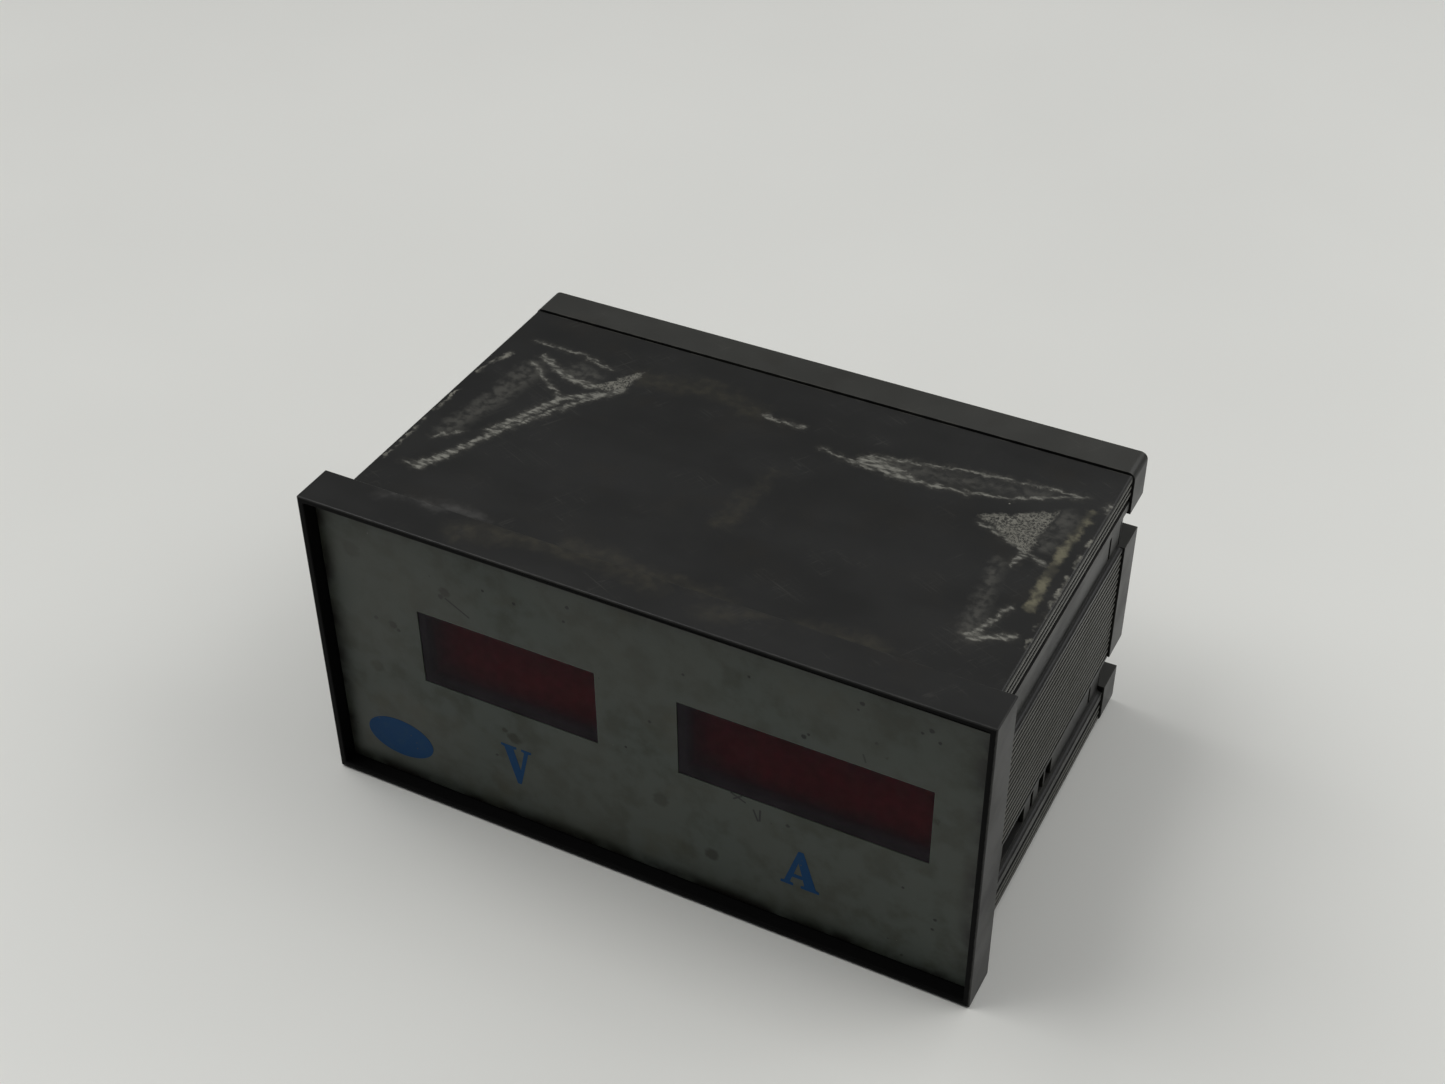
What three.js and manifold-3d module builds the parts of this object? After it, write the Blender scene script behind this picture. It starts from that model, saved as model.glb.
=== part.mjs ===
// Digital volt and ampere panel meter in a 144 x 72 mm instrument case.
// Millimetres, +Z up. The front faces -Y, and the origin is at the middle of the base.
import * as THREE from 'three';
import { mergeVertices } from 'three/addons/utils/BufferGeometryUtils.js';
import Module from 'manifold-3d';

const wasm = await Module();
wasm.setup();

// ---- Driving dimensions ----------------------------------------------------------------

const FRONT_WIDTH = 144;          // standard instrument front
const FRONT_HEIGHT = 72;
const TOTAL_DEPTH = 91;
const MID_Z = FRONT_HEIGHT / 2;
const GAP = 0.3;                  // between pieces that touch

const BEZEL_DEPTH = 9.6;
const RIM = 1.4;                  // wall of the bezel round the recessed front
const RECESS = 3;                 // how far the front plate lies behind the rim
const PLATE_THICK = 0.8;
const LEDGE_BACK = 6.2;           // depth at which the case enters the bezel
const LEDGE_OPENING = [130, 56];  // width and height inside the ledge
const FILTER_THICK = 1.8;

const CASE_WIDTH = 136.7;
const CASE_HEIGHT = 65.6;
const CASE_HALF_W = CASE_WIDTH / 2;
const CASE_HALF_H = CASE_HEIGHT / 2;
const CASE_START = LEDGE_BACK + GAP;
const CASE_END = 82.7;
const SIDE_WALL = 2.75;           // ribs included
const COVER_WALL = 1.9;
const INNER_X = CASE_HALF_W - SIDE_WALL;
const INNER_Z = CASE_HALF_H - COVER_WALL;
const RAIL_TIP = INNER_X - 1.5;   // guide rails for the boards
const RAILS = [[21.7, 22.7], [24.9, 25.9]];
const EDGE_ROUND = 0.6;           // along the top and bottom edges

const RIB_PITCH = 1.58;
const GROOVE_DEPTH = 0.7;
const GROOVE_MOUTH = 0.82;
const GROOVE_FLOOR = 0.62;
const MIDDLE_GROOVES = 9;         // on each side of the middle of the wall
const BAND_GROOVES = 4;           // beside the top and bottom edges
const BAND_FIRST = 27;            // height of the first of them from mid-height
const CHANNEL_LOW = 14.65;        // clamp channel, from mid-height
const CHANNEL_HIGH = 24.6;
const CHANNEL_DEPTH = 1.1;
const CHANNEL_FILLET = 0.9;
const SEAM = 2.5 * RIB_PITCH;     // the half shells meet in this groove

const HOOK_SLOTS = [[26, 38], [41.4, 43], [46, 49], [49.8, 53.5]]; // depths, lower channels
const SLIT = [76, 77.2];          // depths, all four channels
const SLOT_LOW = 15.6;            // edges of the slots, from mid-height
const SLIT_HIGH = 22.4;
const HOOK_SLOT_HIGH = 23.4;

const FRAME_WIDTH = 137.5;
const FRAME_HEIGHT = 66.4;
const FRAME_DEPTH = 8;
const FRAME_OPENING_W = 121;
const FRAME_OPENING_H = 50;
const NOTCH_LOW = 14.65;
const NOTCH_HIGH = 23.3;
const NOTCH_FLOOR_IN = 0.85;      // the notch floor lies this far inside the case at its front
const NOTCH_FLOOR_OUT = 3;        // and this far at its rear

const REAR_PLATE = [80.4, 82.4];  // depths of its two faces
const REAR_PLATE_HALF_H = 26.1;
const AIR_SLOTS = { side: 8, pitch: 5.5, width: 2, height: 16, z: 12 };

const VOLTS_X = -28.85;           // middle of each window
const AMPS_X = 34.8;
const WINDOW_Z = 40.3;
const VOLTS_WIDTH = 40;
const AMPS_WIDTH = 51.8;
const WINDOW_HEIGHT = 18.3;

const DIGIT_WIDTH = 12.5;
const DIGIT_HEIGHT = 19;
const DIGIT_DEPTH = 8;
const DIGIT_PITCH = 12.8;
const DIGIT_FRONT = 7.4;

const BOARD_THICK = 1.6;
const BOARD_TOP = -23;            // top of the main board, from mid-height
const STAND = BOARD_TOP + GAP;    // where its components stand
const MAIN_BOARD_DEPTHS = [18, 79];
const PORT_X = 62.9;              // screw ports in the corners of the case
const PORT_Z = 28.7;
const PORT_HOLE = 1.5;
const PORT_WALL = 2.5;            // plastic round a port, towards the middle of the case
const HEAD_SINK = 2.8;            // depth of the recess for each screw head
const HEAD_SINK_RADIUS = 3.1;

const TERMINAL_PITCH = 9;
const TERMINAL_Z = -15;           // screw height, from mid-height
const TERMINAL_XS = { input: [12, 21, 30, 39], supply: [-47, -38, -29] };
const TERMINAL_HALF_H = 5.6;
const BARRIER_HALF = 0.7;
const BLOCK_FRONT = 83;
const BLOCK_FACE = 86.4;
const CLAMP_FRONT = BLOCK_FACE + GAP;
const CLAMP_THICK = 0.8;
const CLAMP_HALF = 3.2;
const M3_CLEARANCE = 1.8;         // radius of a hole for an M3 screw

const COIL = { x: -44, depth: 47, z: STAND + 14 };
const SINK = { x: -12, depth: 40, halfWidth: 13, height: 26, screwHeight: 17 };
const TAB_THICK = 1.3;            // metal tab of the regulator
const SHUNT = { x: 52, depth: 68, rise: 9 };
const TRIMMER_XS = [-4, -14];
const TRIMMER_Z = -15;
const TRIMMER_HOLE = 2.6;

// ---- Materials -------------------------------------------------------------------------

const finishes = {
  casePlastic: { color: '#2b2b2a', roughness: 0.55, metalness: 0 },
  platePrint: { color: '#5c635f', roughness: 0.6, metalness: 0 },
  redFilter: { color: '#5a1220', roughness: 0.2, metalness: 0 },
  maskBlack: { color: '#121212', roughness: 0.8, metalness: 0 },
  digitFace: { color: '#8d7f80', roughness: 0.4, metalness: 0 },
  board: { color: '#2f5a3a', roughness: 0.5, metalness: 0 },
  chipBlack: { color: '#1c1c1e', roughness: 0.6, metalness: 0 },
  lamination: { color: '#6b6a66', roughness: 0.5, metalness: 0.8 },
  bobbinWhite: { color: '#c9c5b4', roughness: 0.5, metalness: 0 },
  copperTape: { color: '#a8832f', roughness: 0.5, metalness: 0 },
  canSleeve: { color: '#1f2f55', roughness: 0.4, metalness: 0 },
  aluminium: { color: '#a9abab', roughness: 0.4, metalness: 1 },
  steel: { color: '#9a9a96', roughness: 0.35, metalness: 1 },
  brass: { color: '#b08d4a', roughness: 0.35, metalness: 1 },
  blockPlastic: { color: '#24303a', roughness: 0.5, metalness: 0 },
  trimmerBlue: { color: '#2456a8', roughness: 0.4, metalness: 0 },
};

// ---- Geometry helpers ------------------------------------------------------------------

// Depth behind the front rim, as a Y position.
const atDepth = (depth) => depth - TOTAL_DEPTH / 2;

// A closed geometry as a solid that can be joined and cut.
function toSolid(geometry) {
  const plain = geometry.clone();
  for (const name of Object.keys(plain.attributes)) {
    if (name !== 'position') plain.deleteAttribute(name);
  }
  const merged = mergeVertices(plain, 1e-4);
  return new wasm.Manifold(new wasm.Mesh({
    numProp: 3,
    vertProperties: new Float32Array(merged.attributes.position.array),
    triVerts: new Uint32Array(merged.index.array),
  }));
}

function toGeometry(solid) {
  const mesh = solid.getMesh();
  const geometry = new THREE.BufferGeometry();
  const positions = new Float32Array(mesh.vertProperties);
  geometry.setAttribute('position', new THREE.BufferAttribute(positions, 3));
  geometry.setIndex(new THREE.BufferAttribute(new Uint32Array(mesh.triVerts), 1));
  geometry.computeVertexNormals();
  return geometry;
}

function join(...geometries) {
  return toGeometry(geometries.map(toSolid).reduce((sum, next) => sum.add(next)));
}

function cut(base, ...tools) {
  return toGeometry(tools.map(toSolid).reduce((rest, next) => rest.subtract(next), toSolid(base)));
}

// A box from its limits. Heights count from mid-height, depths from the front rim.
function block(x0, x1, depth0, depth1, z0, z1) {
  const geometry = new THREE.BoxGeometry(x1 - x0, depth1 - depth0, z1 - z0);
  return geometry.translate((x0 + x1) / 2, atDepth((depth0 + depth1) / 2), MID_Z + (z0 + z1) / 2);
}

// An outline in X and height, extruded from one depth to another.
function prism(shape, depth0, depth1, curveSegments = 4) {
  const settings = { depth: depth1 - depth0, bevelEnabled: false, curveSegments };
  const geometry = new THREE.ExtrudeGeometry(shape, settings);
  return geometry.rotateX(Math.PI / 2).translate(0, atDepth(depth1), MID_Z);
}

// A round bar along the depth.
function bar(radius, depth0, depth1, x, z, sides = 16) {
  const geometry = new THREE.CylinderGeometry(radius, radius, depth1 - depth0, sides);
  return geometry.translate(x, atDepth((depth0 + depth1) / 2), MID_Z + z);
}

function rectangle(width, height, x = 0, z = 0, radius = 0) {
  const [left, right] = [x - width / 2, x + width / 2];
  const [low, high] = [z - height / 2, z + height / 2];
  const shape = new THREE.Shape();
  shape.moveTo(left + radius, low);
  shape.lineTo(right - radius, low);
  if (radius) shape.absarc(right - radius, low + radius, radius, -Math.PI / 2, 0);
  shape.lineTo(right, high - radius);
  if (radius) shape.absarc(right - radius, high - radius, radius, 0, Math.PI / 2);
  shape.lineTo(left + radius, high);
  if (radius) shape.absarc(left + radius, high - radius, radius, Math.PI / 2, Math.PI);
  shape.lineTo(left, low + radius);
  if (radius) shape.absarc(left + radius, low + radius, radius, Math.PI, 1.5 * Math.PI);
  return shape;
}

// A flat sheet with holes of any outline cut through it.
function sheet(outer, holes, depth0, depth1, curveSegments) {
  const tools = holes.map((hole) => prism(hole, depth0 - 1, depth1 + 1, curveSegments));
  return cut(prism(outer, depth0, depth1, curveSegments), ...tools);
}

// ---- The part --------------------------------------------------------------------------

const meter = new THREE.Group();

function add(name, geometry, finish) {
  const mesh = new THREE.Mesh(geometry, new THREE.MeshStandardMaterial(finishes[finish]));
  mesh.name = name;
  meter.add(mesh);
  return mesh;
}

// Snap-on front frame: a thin rim, a ledge that carries the plate, and a socket for the case.
function bezelFrame() {
  const recessW = FRONT_WIDTH - 2 * RIM;
  const recessH = FRONT_HEIGHT - 2 * RIM;
  const ledgeStart = RECESS + PLATE_THICK + GAP;
  const outer = prism(rectangle(FRONT_WIDTH, FRONT_HEIGHT), 0, BEZEL_DEPTH);
  const recess = prism(rectangle(recessW, recessH), -1, ledgeStart);
  const through = prism(rectangle(...LEDGE_OPENING), -1, BEZEL_DEPTH + 1);
  const socketOutline = rectangle(CASE_WIDTH + 2 * GAP, CASE_HEIGHT + 2 * GAP);
  const socket = prism(socketOutline, LEDGE_BACK, BEZEL_DEPTH + 1);
  return cut(outer, recess, through, socket);
}

function frontPlate() {
  const margin = RIM + GAP;
  const plate = rectangle(FRONT_WIDTH - 2 * margin, FRONT_HEIGHT - 2 * margin);
  const windows = [[VOLTS_X, VOLTS_WIDTH], [AMPS_X, AMPS_WIDTH]].map(([x, width]) =>
    rectangle(width, WINDOW_HEIGHT, x, WINDOW_Z - MID_Z));
  return sheet(plate, windows, RECESS, RECESS + PLATE_THICK);
}

// Red filter sheet behind a window, a little larger than it.
function filterSheet(x, windowWidth) {
  const front = RECESS + PLATE_THICK + GAP;
  const overlap = 2;
  const outline = rectangle(windowWidth + 2 * overlap, WINDOW_HEIGHT + 2 * overlap, x, WINDOW_Z - MID_Z);
  return prism(outline, front, front + FILTER_THICK);
}

// Black shroud with a tunnel round each row of digits.
function displayMask() {
  const front = LEDGE_BACK + GAP;
  const back = DIGIT_FRONT + 5;
  const webThick = 1.5;
  const [webWidth, webHeight] = LEDGE_OPENING.map((size) => size - 4);
  const windowZ = WINDOW_Z - MID_Z;
  const clearance = 0.8;
  const tunnelHeight = DIGIT_HEIGHT + clearance;
  const web = prism(rectangle(webWidth, webHeight), front, front + webThick);
  const walls = [[VOLTS_X, VOLTS_WIDTH], [AMPS_X, AMPS_WIDTH]].map(([x, width]) =>
    prism(rectangle(width + 5, tunnelHeight + 4, x, windowZ), front, back));
  const tunnels = [[VOLTS_X, VOLTS_WIDTH], [AMPS_X, AMPS_WIDTH]].map(([x, width]) =>
    prism(rectangle(width + 0.4, tunnelHeight, x, windowZ), front - 1, back + 1));
  return cut(join(web, ...walls), ...tunnels);
}

// Seven-segment digit: a block with two rows of five pins at its back.
function digit(x) {
  const back = DIGIT_FRONT + DIGIT_DEPTH;
  const z = WINDOW_Z - MID_Z;
  const halfW = DIGIT_WIDTH / 2;
  const halfH = DIGIT_HEIGHT / 2;
  const body = block(x - halfW, x + halfW, DIGIT_FRONT, back, z - halfH, z + halfH);
  const pins = [];
  const [pinPitch, rowHeight, pinHalf] = [2.3, 7.62, 0.25];
  for (const row of [-1, 1]) {
    for (let pin = -2; pin <= 2; pin += 1) {
      const [pinX, pinZ] = [x + pin * pinPitch, z + row * rowHeight];
      pins.push(block(pinX - pinHalf, pinX + pinHalf, back - 0.5, back + 0.2,
        pinZ - pinHalf, pinZ + pinHalf));
    }
  }
  return join(body, ...pins);
}

// One groove of a ribbed wall, as points from its upper lip to its lower lip.
function groove(height) {
  return [
    [CASE_HALF_W, height + GROOVE_MOUTH / 2],
    [CASE_HALF_W - GROOVE_DEPTH, height + GROOVE_FLOOR / 2],
    [CASE_HALF_W - GROOVE_DEPTH, height - GROOVE_FLOOR / 2],
    [CASE_HALF_W, height - GROOVE_MOUTH / 2],
  ];
}

// A hollow corner of the clamp channel, as points that turn from one direction to the other.
function channelCorner(centreZ, fromAngle, toAngle) {
  const centreX = CASE_HALF_W - CHANNEL_DEPTH + CHANNEL_FILLET;
  return [0, 1, 2, 3].map((step) => {
    const angle = fromAngle + (toAngle - fromAngle) * step / 3;
    return [centreX + CHANNEL_FILLET * Math.cos(angle), centreZ + CHANNEL_FILLET * Math.sin(angle)];
  });
}

// Outside of a side wall, from the rounded top edge down to the given height.
function wallOutside(lowest) {
  const points = [];
  for (let step = 0; step <= 3; step += 1) {
    const angle = Math.PI / 2 * (1 - step / 3);
    points.push([CASE_HALF_W - EDGE_ROUND * (1 - Math.cos(angle)),
      CASE_HALF_H - EDGE_ROUND * (1 - Math.sin(angle))]);
  }
  for (let index = BAND_GROOVES - 1; index >= 0; index -= 1) {
    points.push(...groove(BAND_FIRST + index * RIB_PITCH));
  }
  points.push([CASE_HALF_W, CHANNEL_HIGH]);
  points.push(...channelCorner(CHANNEL_HIGH - CHANNEL_FILLET, Math.PI / 2, Math.PI));
  points.push(...channelCorner(CHANNEL_LOW + CHANNEL_FILLET, Math.PI, 1.5 * Math.PI));
  points.push([CASE_HALF_W, CHANNEL_LOW]);
  for (let index = MIDDLE_GROOVES - 0.5; index > lowest / RIB_PITCH + 0.25; index -= 1) {
    points.push(...groove(index * RIB_PITCH));
  }
  return points;
}

// Inside of a side wall, from the end of the wall up to the cover: guide rails for a board,
// and the corner block that holds a screw port.
function wallInside() {
  const points = [];
  for (const [low, high] of RAILS) {
    points.push([INNER_X, low], [RAIL_TIP, low], [RAIL_TIP, high], [INNER_X, high]);
  }
  const [innerX, innerZ] = [PORT_X - PORT_WALL, PORT_Z - PORT_WALL];
  points.push([INNER_X, innerZ], [innerX, innerZ], [innerX, INNER_Z]);
  return points;
}

// Half shell of the case: the cover and two side walls, the right one shorter than the left one.
// The lower shell is the same part turned upside down.
function halfShell() {
  const end = GAP / 2;
  const mirror = ([x, z]) => [-x, z];
  const rightEnd = SEAM + end;
  const leftEnd = -SEAM + end;
  const lowerLeft = [];
  for (let index = MIDDLE_GROOVES - 0.5; index > -SEAM / RIB_PITCH + 0.25; index -= 1) {
    lowerLeft.push(...groove(index * RIB_PITCH));
  }
  const upperPart = wallOutside(MIDDLE_GROOVES * RIB_PITCH);
  const seamX = CASE_HALF_W - GROOVE_DEPTH;
  const right = [...wallOutside(SEAM), [CASE_HALF_W, SEAM + GROOVE_MOUTH / 2], [seamX, rightEnd]];
  const left = [...upperPart, ...lowerLeft, [CASE_HALF_W, leftEnd + GROOVE_MOUTH / 2], [seamX, leftEnd]];
  const outline = [
    ...right, [INNER_X, rightEnd], ...wallInside(),
    ...wallInside().map(mirror).reverse(), [-INNER_X, leftEnd], ...left.map(mirror).reverse(),
  ];
  const shape = new THREE.Shape(outline.map(([x, z]) => new THREE.Vector2(x, z)));
  const ports = [-1, 1].map((side) =>
    bar(PORT_HOLE, CASE_START - 1, CASE_END + 1, side * PORT_X, PORT_Z, 12));
  return cut(prism(shape, CASE_START, CASE_END), ...ports);
}

// Slots through both side walls, from one height to another, at the given pairs of depths.
function clampSlots(low, high, spans) {
  const [wallIn, wallOut] = [INNER_X - 2, CASE_HALF_W + 1];
  return spans.flatMap(([start, end]) => [
    block(-wallOut, -wallIn, start, end, low, high),
    block(wallIn, wallOut, start, end, low, high),
  ]);
}

function caseUpper() {
  return cut(halfShell(), ...clampSlots(SLOT_LOW, SLIT_HIGH, [SLIT]));
}

// The lower shell has hook openings for the mounting clamps as well.
function caseLower() {
  const shell = halfShell().translate(0, 0, -MID_Z).rotateY(Math.PI).translate(0, 0, MID_Z);
  return cut(shell, ...clampSlots(-HOOK_SLOT_HIGH, -SLOT_LOW, [SLIT, ...HOOK_SLOTS]));
}

// Rear frame with notches where the clamp channels run out; each notch floor slopes inwards.
function rearFrame() {
  const start = TOTAL_DEPTH - FRAME_DEPTH;
  const outer = prism(rectangle(FRAME_WIDTH, FRAME_HEIGHT, 0, 0, 1.6), start, TOTAL_DEPTH, 3);
  const [before, after] = [start - 1, TOTAL_DEPTH + 1];
  const tools = [prism(rectangle(FRAME_OPENING_W, FRAME_OPENING_H), before, after)];
  for (const side of [-1, 1]) {
    for (const level of [-1, 1]) {
      const [low, high] = [level * NOTCH_LOW, level * NOTCH_HIGH].sort((a, b) => a - b);
      const ramp = new THREE.Shape([
        new THREE.Vector2(side * (CASE_HALF_W - NOTCH_FLOOR_IN), atDepth(before)),
        new THREE.Vector2(side * (FRAME_WIDTH / 2 + 1), atDepth(before)),
        new THREE.Vector2(side * (FRAME_WIDTH / 2 + 1), atDepth(after)),
        new THREE.Vector2(side * (CASE_HALF_W - NOTCH_FLOOR_OUT), atDepth(after)),
      ]);
      const wedge = new THREE.ExtrudeGeometry(ramp, { depth: high - low, bevelEnabled: false });
      tools.push(wedge.translate(0, 0, MID_Z + low));
      const [x, z] = [side * PORT_X, level * PORT_Z];
      tools.push(bar(PORT_HOLE, before, after, x, z, 12));
      tools.push(bar(HEAD_SINK_RADIUS, TOTAL_DEPTH - HEAD_SINK, after, x, z, 16));
    }
  }
  return cut(outer, ...tools);
}

// Plate inside the rear end of the case: air slots above, holes for the two adjusters.
function rearPlate() {
  const [front, back] = REAR_PLATE;
  const plate = rectangle(2 * (RAIL_TIP - GAP), 2 * REAR_PLATE_HALF_H);
  const slots = [];
  for (let slot = -AIR_SLOTS.side; slot <= AIR_SLOTS.side; slot += 1) {
    slots.push(rectangle(AIR_SLOTS.width, AIR_SLOTS.height, slot * AIR_SLOTS.pitch, AIR_SLOTS.z));
  }
  const holes = TRIMMER_XS.map((x) => bar(TRIMMER_HOLE, front - 1, back + 1, x, TRIMMER_Z, 16));
  return cut(sheet(plate, slots, front, back), ...holes);
}

// Threaded fastener along the depth: head at the rear with a crossed or single slot.
function fastener(x, z, headRadius, headStart, headThick, shankRadius, shankStart, slotCount) {
  const headEnd = headStart + headThick;
  const head = bar(headRadius, headStart, headEnd, x, z, 20);
  const shank = bar(shankRadius, shankStart, headStart + 0.1, x, z, 12);
  const reach = headRadius * (slotCount === 1 ? 1.2 : 0.62);
  const [floor, above, half] = [headEnd - 0.8, headEnd + 1, 0.4];
  const slots = [block(x - reach, x + reach, floor, above, z - half, z + half)];
  if (slotCount === 2) {
    slots.push(block(x - half, x + half, floor, above, z - reach, z + reach));
  }
  return cut(join(head, shank), ...slots);
}

// Row of terminals: a base with a hole for each screw, and barriers between the ways.
function terminalBlock(xs) {
  const end = TERMINAL_PITCH / 2;
  const [left, right] = [xs[0] - end, xs[xs.length - 1] + end];
  const [low, high] = [TERMINAL_Z - TERMINAL_HALF_H, TERMINAL_Z + TERMINAL_HALF_H];
  const pieces = [block(left, right, BLOCK_FRONT, BLOCK_FACE, low, high)];
  for (let index = 0; index <= xs.length; index += 1) {
    const x = left + index * TERMINAL_PITCH;
    const [x0, x1] = [Math.max(left, x - BARRIER_HALF), Math.min(right, x + BARRIER_HALF)];
    pieces.push(block(x0, x1, BLOCK_FACE - 0.5, TOTAL_DEPTH - 0.4, low, high));
  }
  const holes = xs.map((x) =>
    bar(M3_CLEARANCE, BLOCK_FRONT - 1, BLOCK_FACE + 1, x, TERMINAL_Z, 12));
  return cut(join(...pieces), ...holes);
}

// Square pressure plate that the terminal screw carries.
function clampPlate(x) {
  const back = CLAMP_FRONT + CLAMP_THICK;
  const [low, high] = [TERMINAL_Z - CLAMP_HALF, TERMINAL_Z + CLAMP_HALF];
  const plate = block(x - CLAMP_HALF, x + CLAMP_HALF, CLAMP_FRONT, back, low, high);
  return cut(plate, bar(M3_CLEARANCE, CLAMP_FRONT - 1, back + 1, x, TERMINAL_Z, 12));
}

function mainBoard() {
  const half = INNER_X - 0.5;
  return block(-half, half, ...MAIN_BOARD_DEPTHS, BOARD_TOP - BOARD_THICK, BOARD_TOP);
}

function displayBoard() {
  const [halfWidth, low, high] = [63, -21.4, 24];
  const front = DIGIT_FRONT + DIGIT_DEPTH + 0.5;
  return block(-halfWidth, halfWidth, front, front + BOARD_THICK, low, high);
}

// Right-angle row of contacts between the two boards.
function pinHeader() {
  const [pitch, pinHalf, sidePins] = [2.54, 0.32, 9];
  const start = MAIN_BOARD_DEPTHS[0] + 0.2;
  const pieces = [block(-26, 26, start + 0.6, start + 3.2, STAND, STAND + 2.5)];
  for (let pin = -sidePins; pin <= sidePins; pin += 1) {
    const [x0, x1] = [pin * pitch - pinHalf, pin * pitch + pinHalf];
    pieces.push(block(x0, x1, start - 0.3, start + 5.4, STAND + 0.9, STAND + 1.54));
  }
  return join(...pieces);
}

// Core of the mains transformer: laminations with two windows for the bobbin and its winding.
function transformerCore() {
  const [halfW, halfH, halfT] = [18, 13.5, 8];
  const windows = [-1, 1].map((side) => rectangle(7.5, 17, COIL.x + side * 9.2, COIL.z));
  const outline = rectangle(2 * halfW, 2 * halfH, COIL.x, COIL.z);
  return sheet(outline, windows, COIL.depth - halfT, COIL.depth + halfT);
}

// A square sleeve round the core's middle leg, which runs up and down.
function sleeve(innerX, innerDepth, wallX, wallDepth, z0, z1) {
  const [outX, outDepth] = [innerX + wallX, innerDepth + wallDepth];
  const { x, depth, z } = COIL;
  return cut(
    block(x - outX, x + outX, depth - outDepth, depth + outDepth, z + z0, z + z1),
    block(x - innerX, x + innerX, depth - innerDepth, depth + innerDepth, z + z0 - 1, z + z1 + 1),
  );
}

function transformerBobbin() {
  const [legX, legDepth] = [5.75, 8.3];
  const [tube, halfHeight, flange] = [0.8, 8.2, 1];
  return join(
    sleeve(legX, legDepth, tube, tube, -halfHeight, halfHeight),
    sleeve(legX, legDepth, 6.5, 5.5, halfHeight - flange, halfHeight),
    sleeve(legX, legDepth, 6.5, 5.5, -halfHeight, flange - halfHeight),
  );
}

function transformerWinding() {
  return sleeve(6.85, 9.4, 4.6, 3.8, -6.9, 6.9);
}

// Upright electrolytic can with a waist below its top.
function capacitor(x, depth) {
  const [radius, waist, shoulder, height] = [6.2, 5.7, 5.6, 20];
  const profile = [
    [0, 0], [radius, 0], [radius, 15.6], [waist, 16.2], [radius, 16.8],
    [radius, height - 0.5], [shoulder, height], [0, height],
  ].map(([r, h]) => new THREE.Vector2(r, h));
  const geometry = new THREE.LatheGeometry(profile, 20);
  return geometry.rotateX(Math.PI / 2).translate(x, atDepth(depth), MID_Z + STAND);
}

// Finned cooling plate standing on the board, with a hole for the regulator's screw.
function heatsink() {
  const { x, depth, halfWidth, height, screwHeight } = SINK;
  const [plate, fins, finThick, finReach] = [2, 6, 1.2, 10];
  const top = STAND + height;
  const pieces = [block(x - halfWidth, x + halfWidth, depth, depth + plate, STAND, top)];
  const finPitch = (2 * halfWidth - finThick) / (fins - 1);
  for (let fin = 0; fin < fins; fin += 1) {
    const left = x - halfWidth + fin * finPitch;
    pieces.push(block(left, left + finThick, depth + 1, depth + finReach, STAND, top));
  }
  const hole = bar(M3_CLEARANCE, depth - 1, depth + plate + 1, x, STAND + screwHeight, 12);
  return cut(join(...pieces), hole);
}

function regulator() {
  const { x, screwHeight } = SINK;
  const [half, legPitch, legHalf, lift] = [5, 2.54, 0.4, 5];
  const back = SINK.depth - GAP;
  const tab = block(x - half, x + half, back - TAB_THICK, back, STAND + lift, STAND + 20);
  const body = block(x - half, x + half, back - 4.4, back, STAND + lift, STAND + 13.5);
  const legs = [-1, 0, 1].map((leg) => {
    const middle = x + leg * legPitch;
    return block(middle - legHalf, middle + legHalf, back - 2.6, back - 2, STAND, STAND + lift + 0.5);
  });
  const hole = bar(M3_CLEARANCE, back - 6, back + 1, x, STAND + screwHeight, 12);
  return cut(join(tab, body, ...legs), hole);
}

function regulatorScrew() {
  const { x, depth, screwHeight } = SINK;
  const headBack = depth - GAP - TAB_THICK - GAP;
  const head = bar(2.7, headBack - 2, headBack, x, STAND + screwHeight, 16);
  const shank = bar(1.5, headBack - 0.2, depth + 4, x, STAND + screwHeight, 12);
  return join(head, shank);
}

// Long dual in-line circuit lying across the board.
function converterChip(x, depth) {
  const pins = 20;
  const [pitch, halfLength] = [2.54, 26];
  const [halfWidth, low, high] = [6.8, STAND + 1, STAND + 4.8];
  const body = block(x - halfLength, x + halfLength, depth - halfWidth, depth + halfWidth, low, high);
  const pieces = [];
  for (let pin = 0; pin < pins; pin += 1) {
    const pinX = x + (pin - (pins - 1) / 2) * pitch;
    for (const side of [-1, 1]) {
      const [near, far] = [depth + side * 6.6, depth + side * 7.7].sort((a, b) => a - b);
      pieces.push(block(pinX - 0.6, pinX + 0.6, near, far, STAND, STAND + 3.2));
    }
  }
  const notch = new THREE.CylinderGeometry(1.5, 1.5, 2, 12).rotateX(Math.PI / 2);
  notch.translate(x - halfLength, atDepth(depth), MID_Z + high);
  return cut(join(body, ...pieces), notch);
}

// Bent resistance bar between two studs, for the current range.
function currentShunt() {
  const { x, depth, rise } = SHUNT;
  const [half, halfDepth, thick] = [10, 1.5, 2.5];
  const [front, back, top] = [depth - halfDepth, depth + halfDepth, STAND + rise];
  return join(
    block(x - half, x - half + thick, front, back, STAND, top),
    block(x + half - thick, x + half, front, back, STAND, top),
    block(x - half, x + half, front, back, top - thick, top),
  );
}

// Adjuster with a rotor that a screwdriver reaches through the rear plate.
function trimmerBody(x) {
  const body = block(x - 4, x + 4, 72.6, 77.6, STAND, TRIMMER_Z + 4);
  return cut(body, bar(2.3, 75, 79, x, TRIMMER_Z, 16));
}

function trimmerRotor(x) {
  const disc = bar(2, 75.3, 79.6, x, TRIMMER_Z, 16);
  return cut(disc, block(x - 3, x + 3, 78.8, 80, TRIMMER_Z - 0.35, TRIMMER_Z + 0.35));
}

// ---- Assembly --------------------------------------------------------------------------

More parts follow.
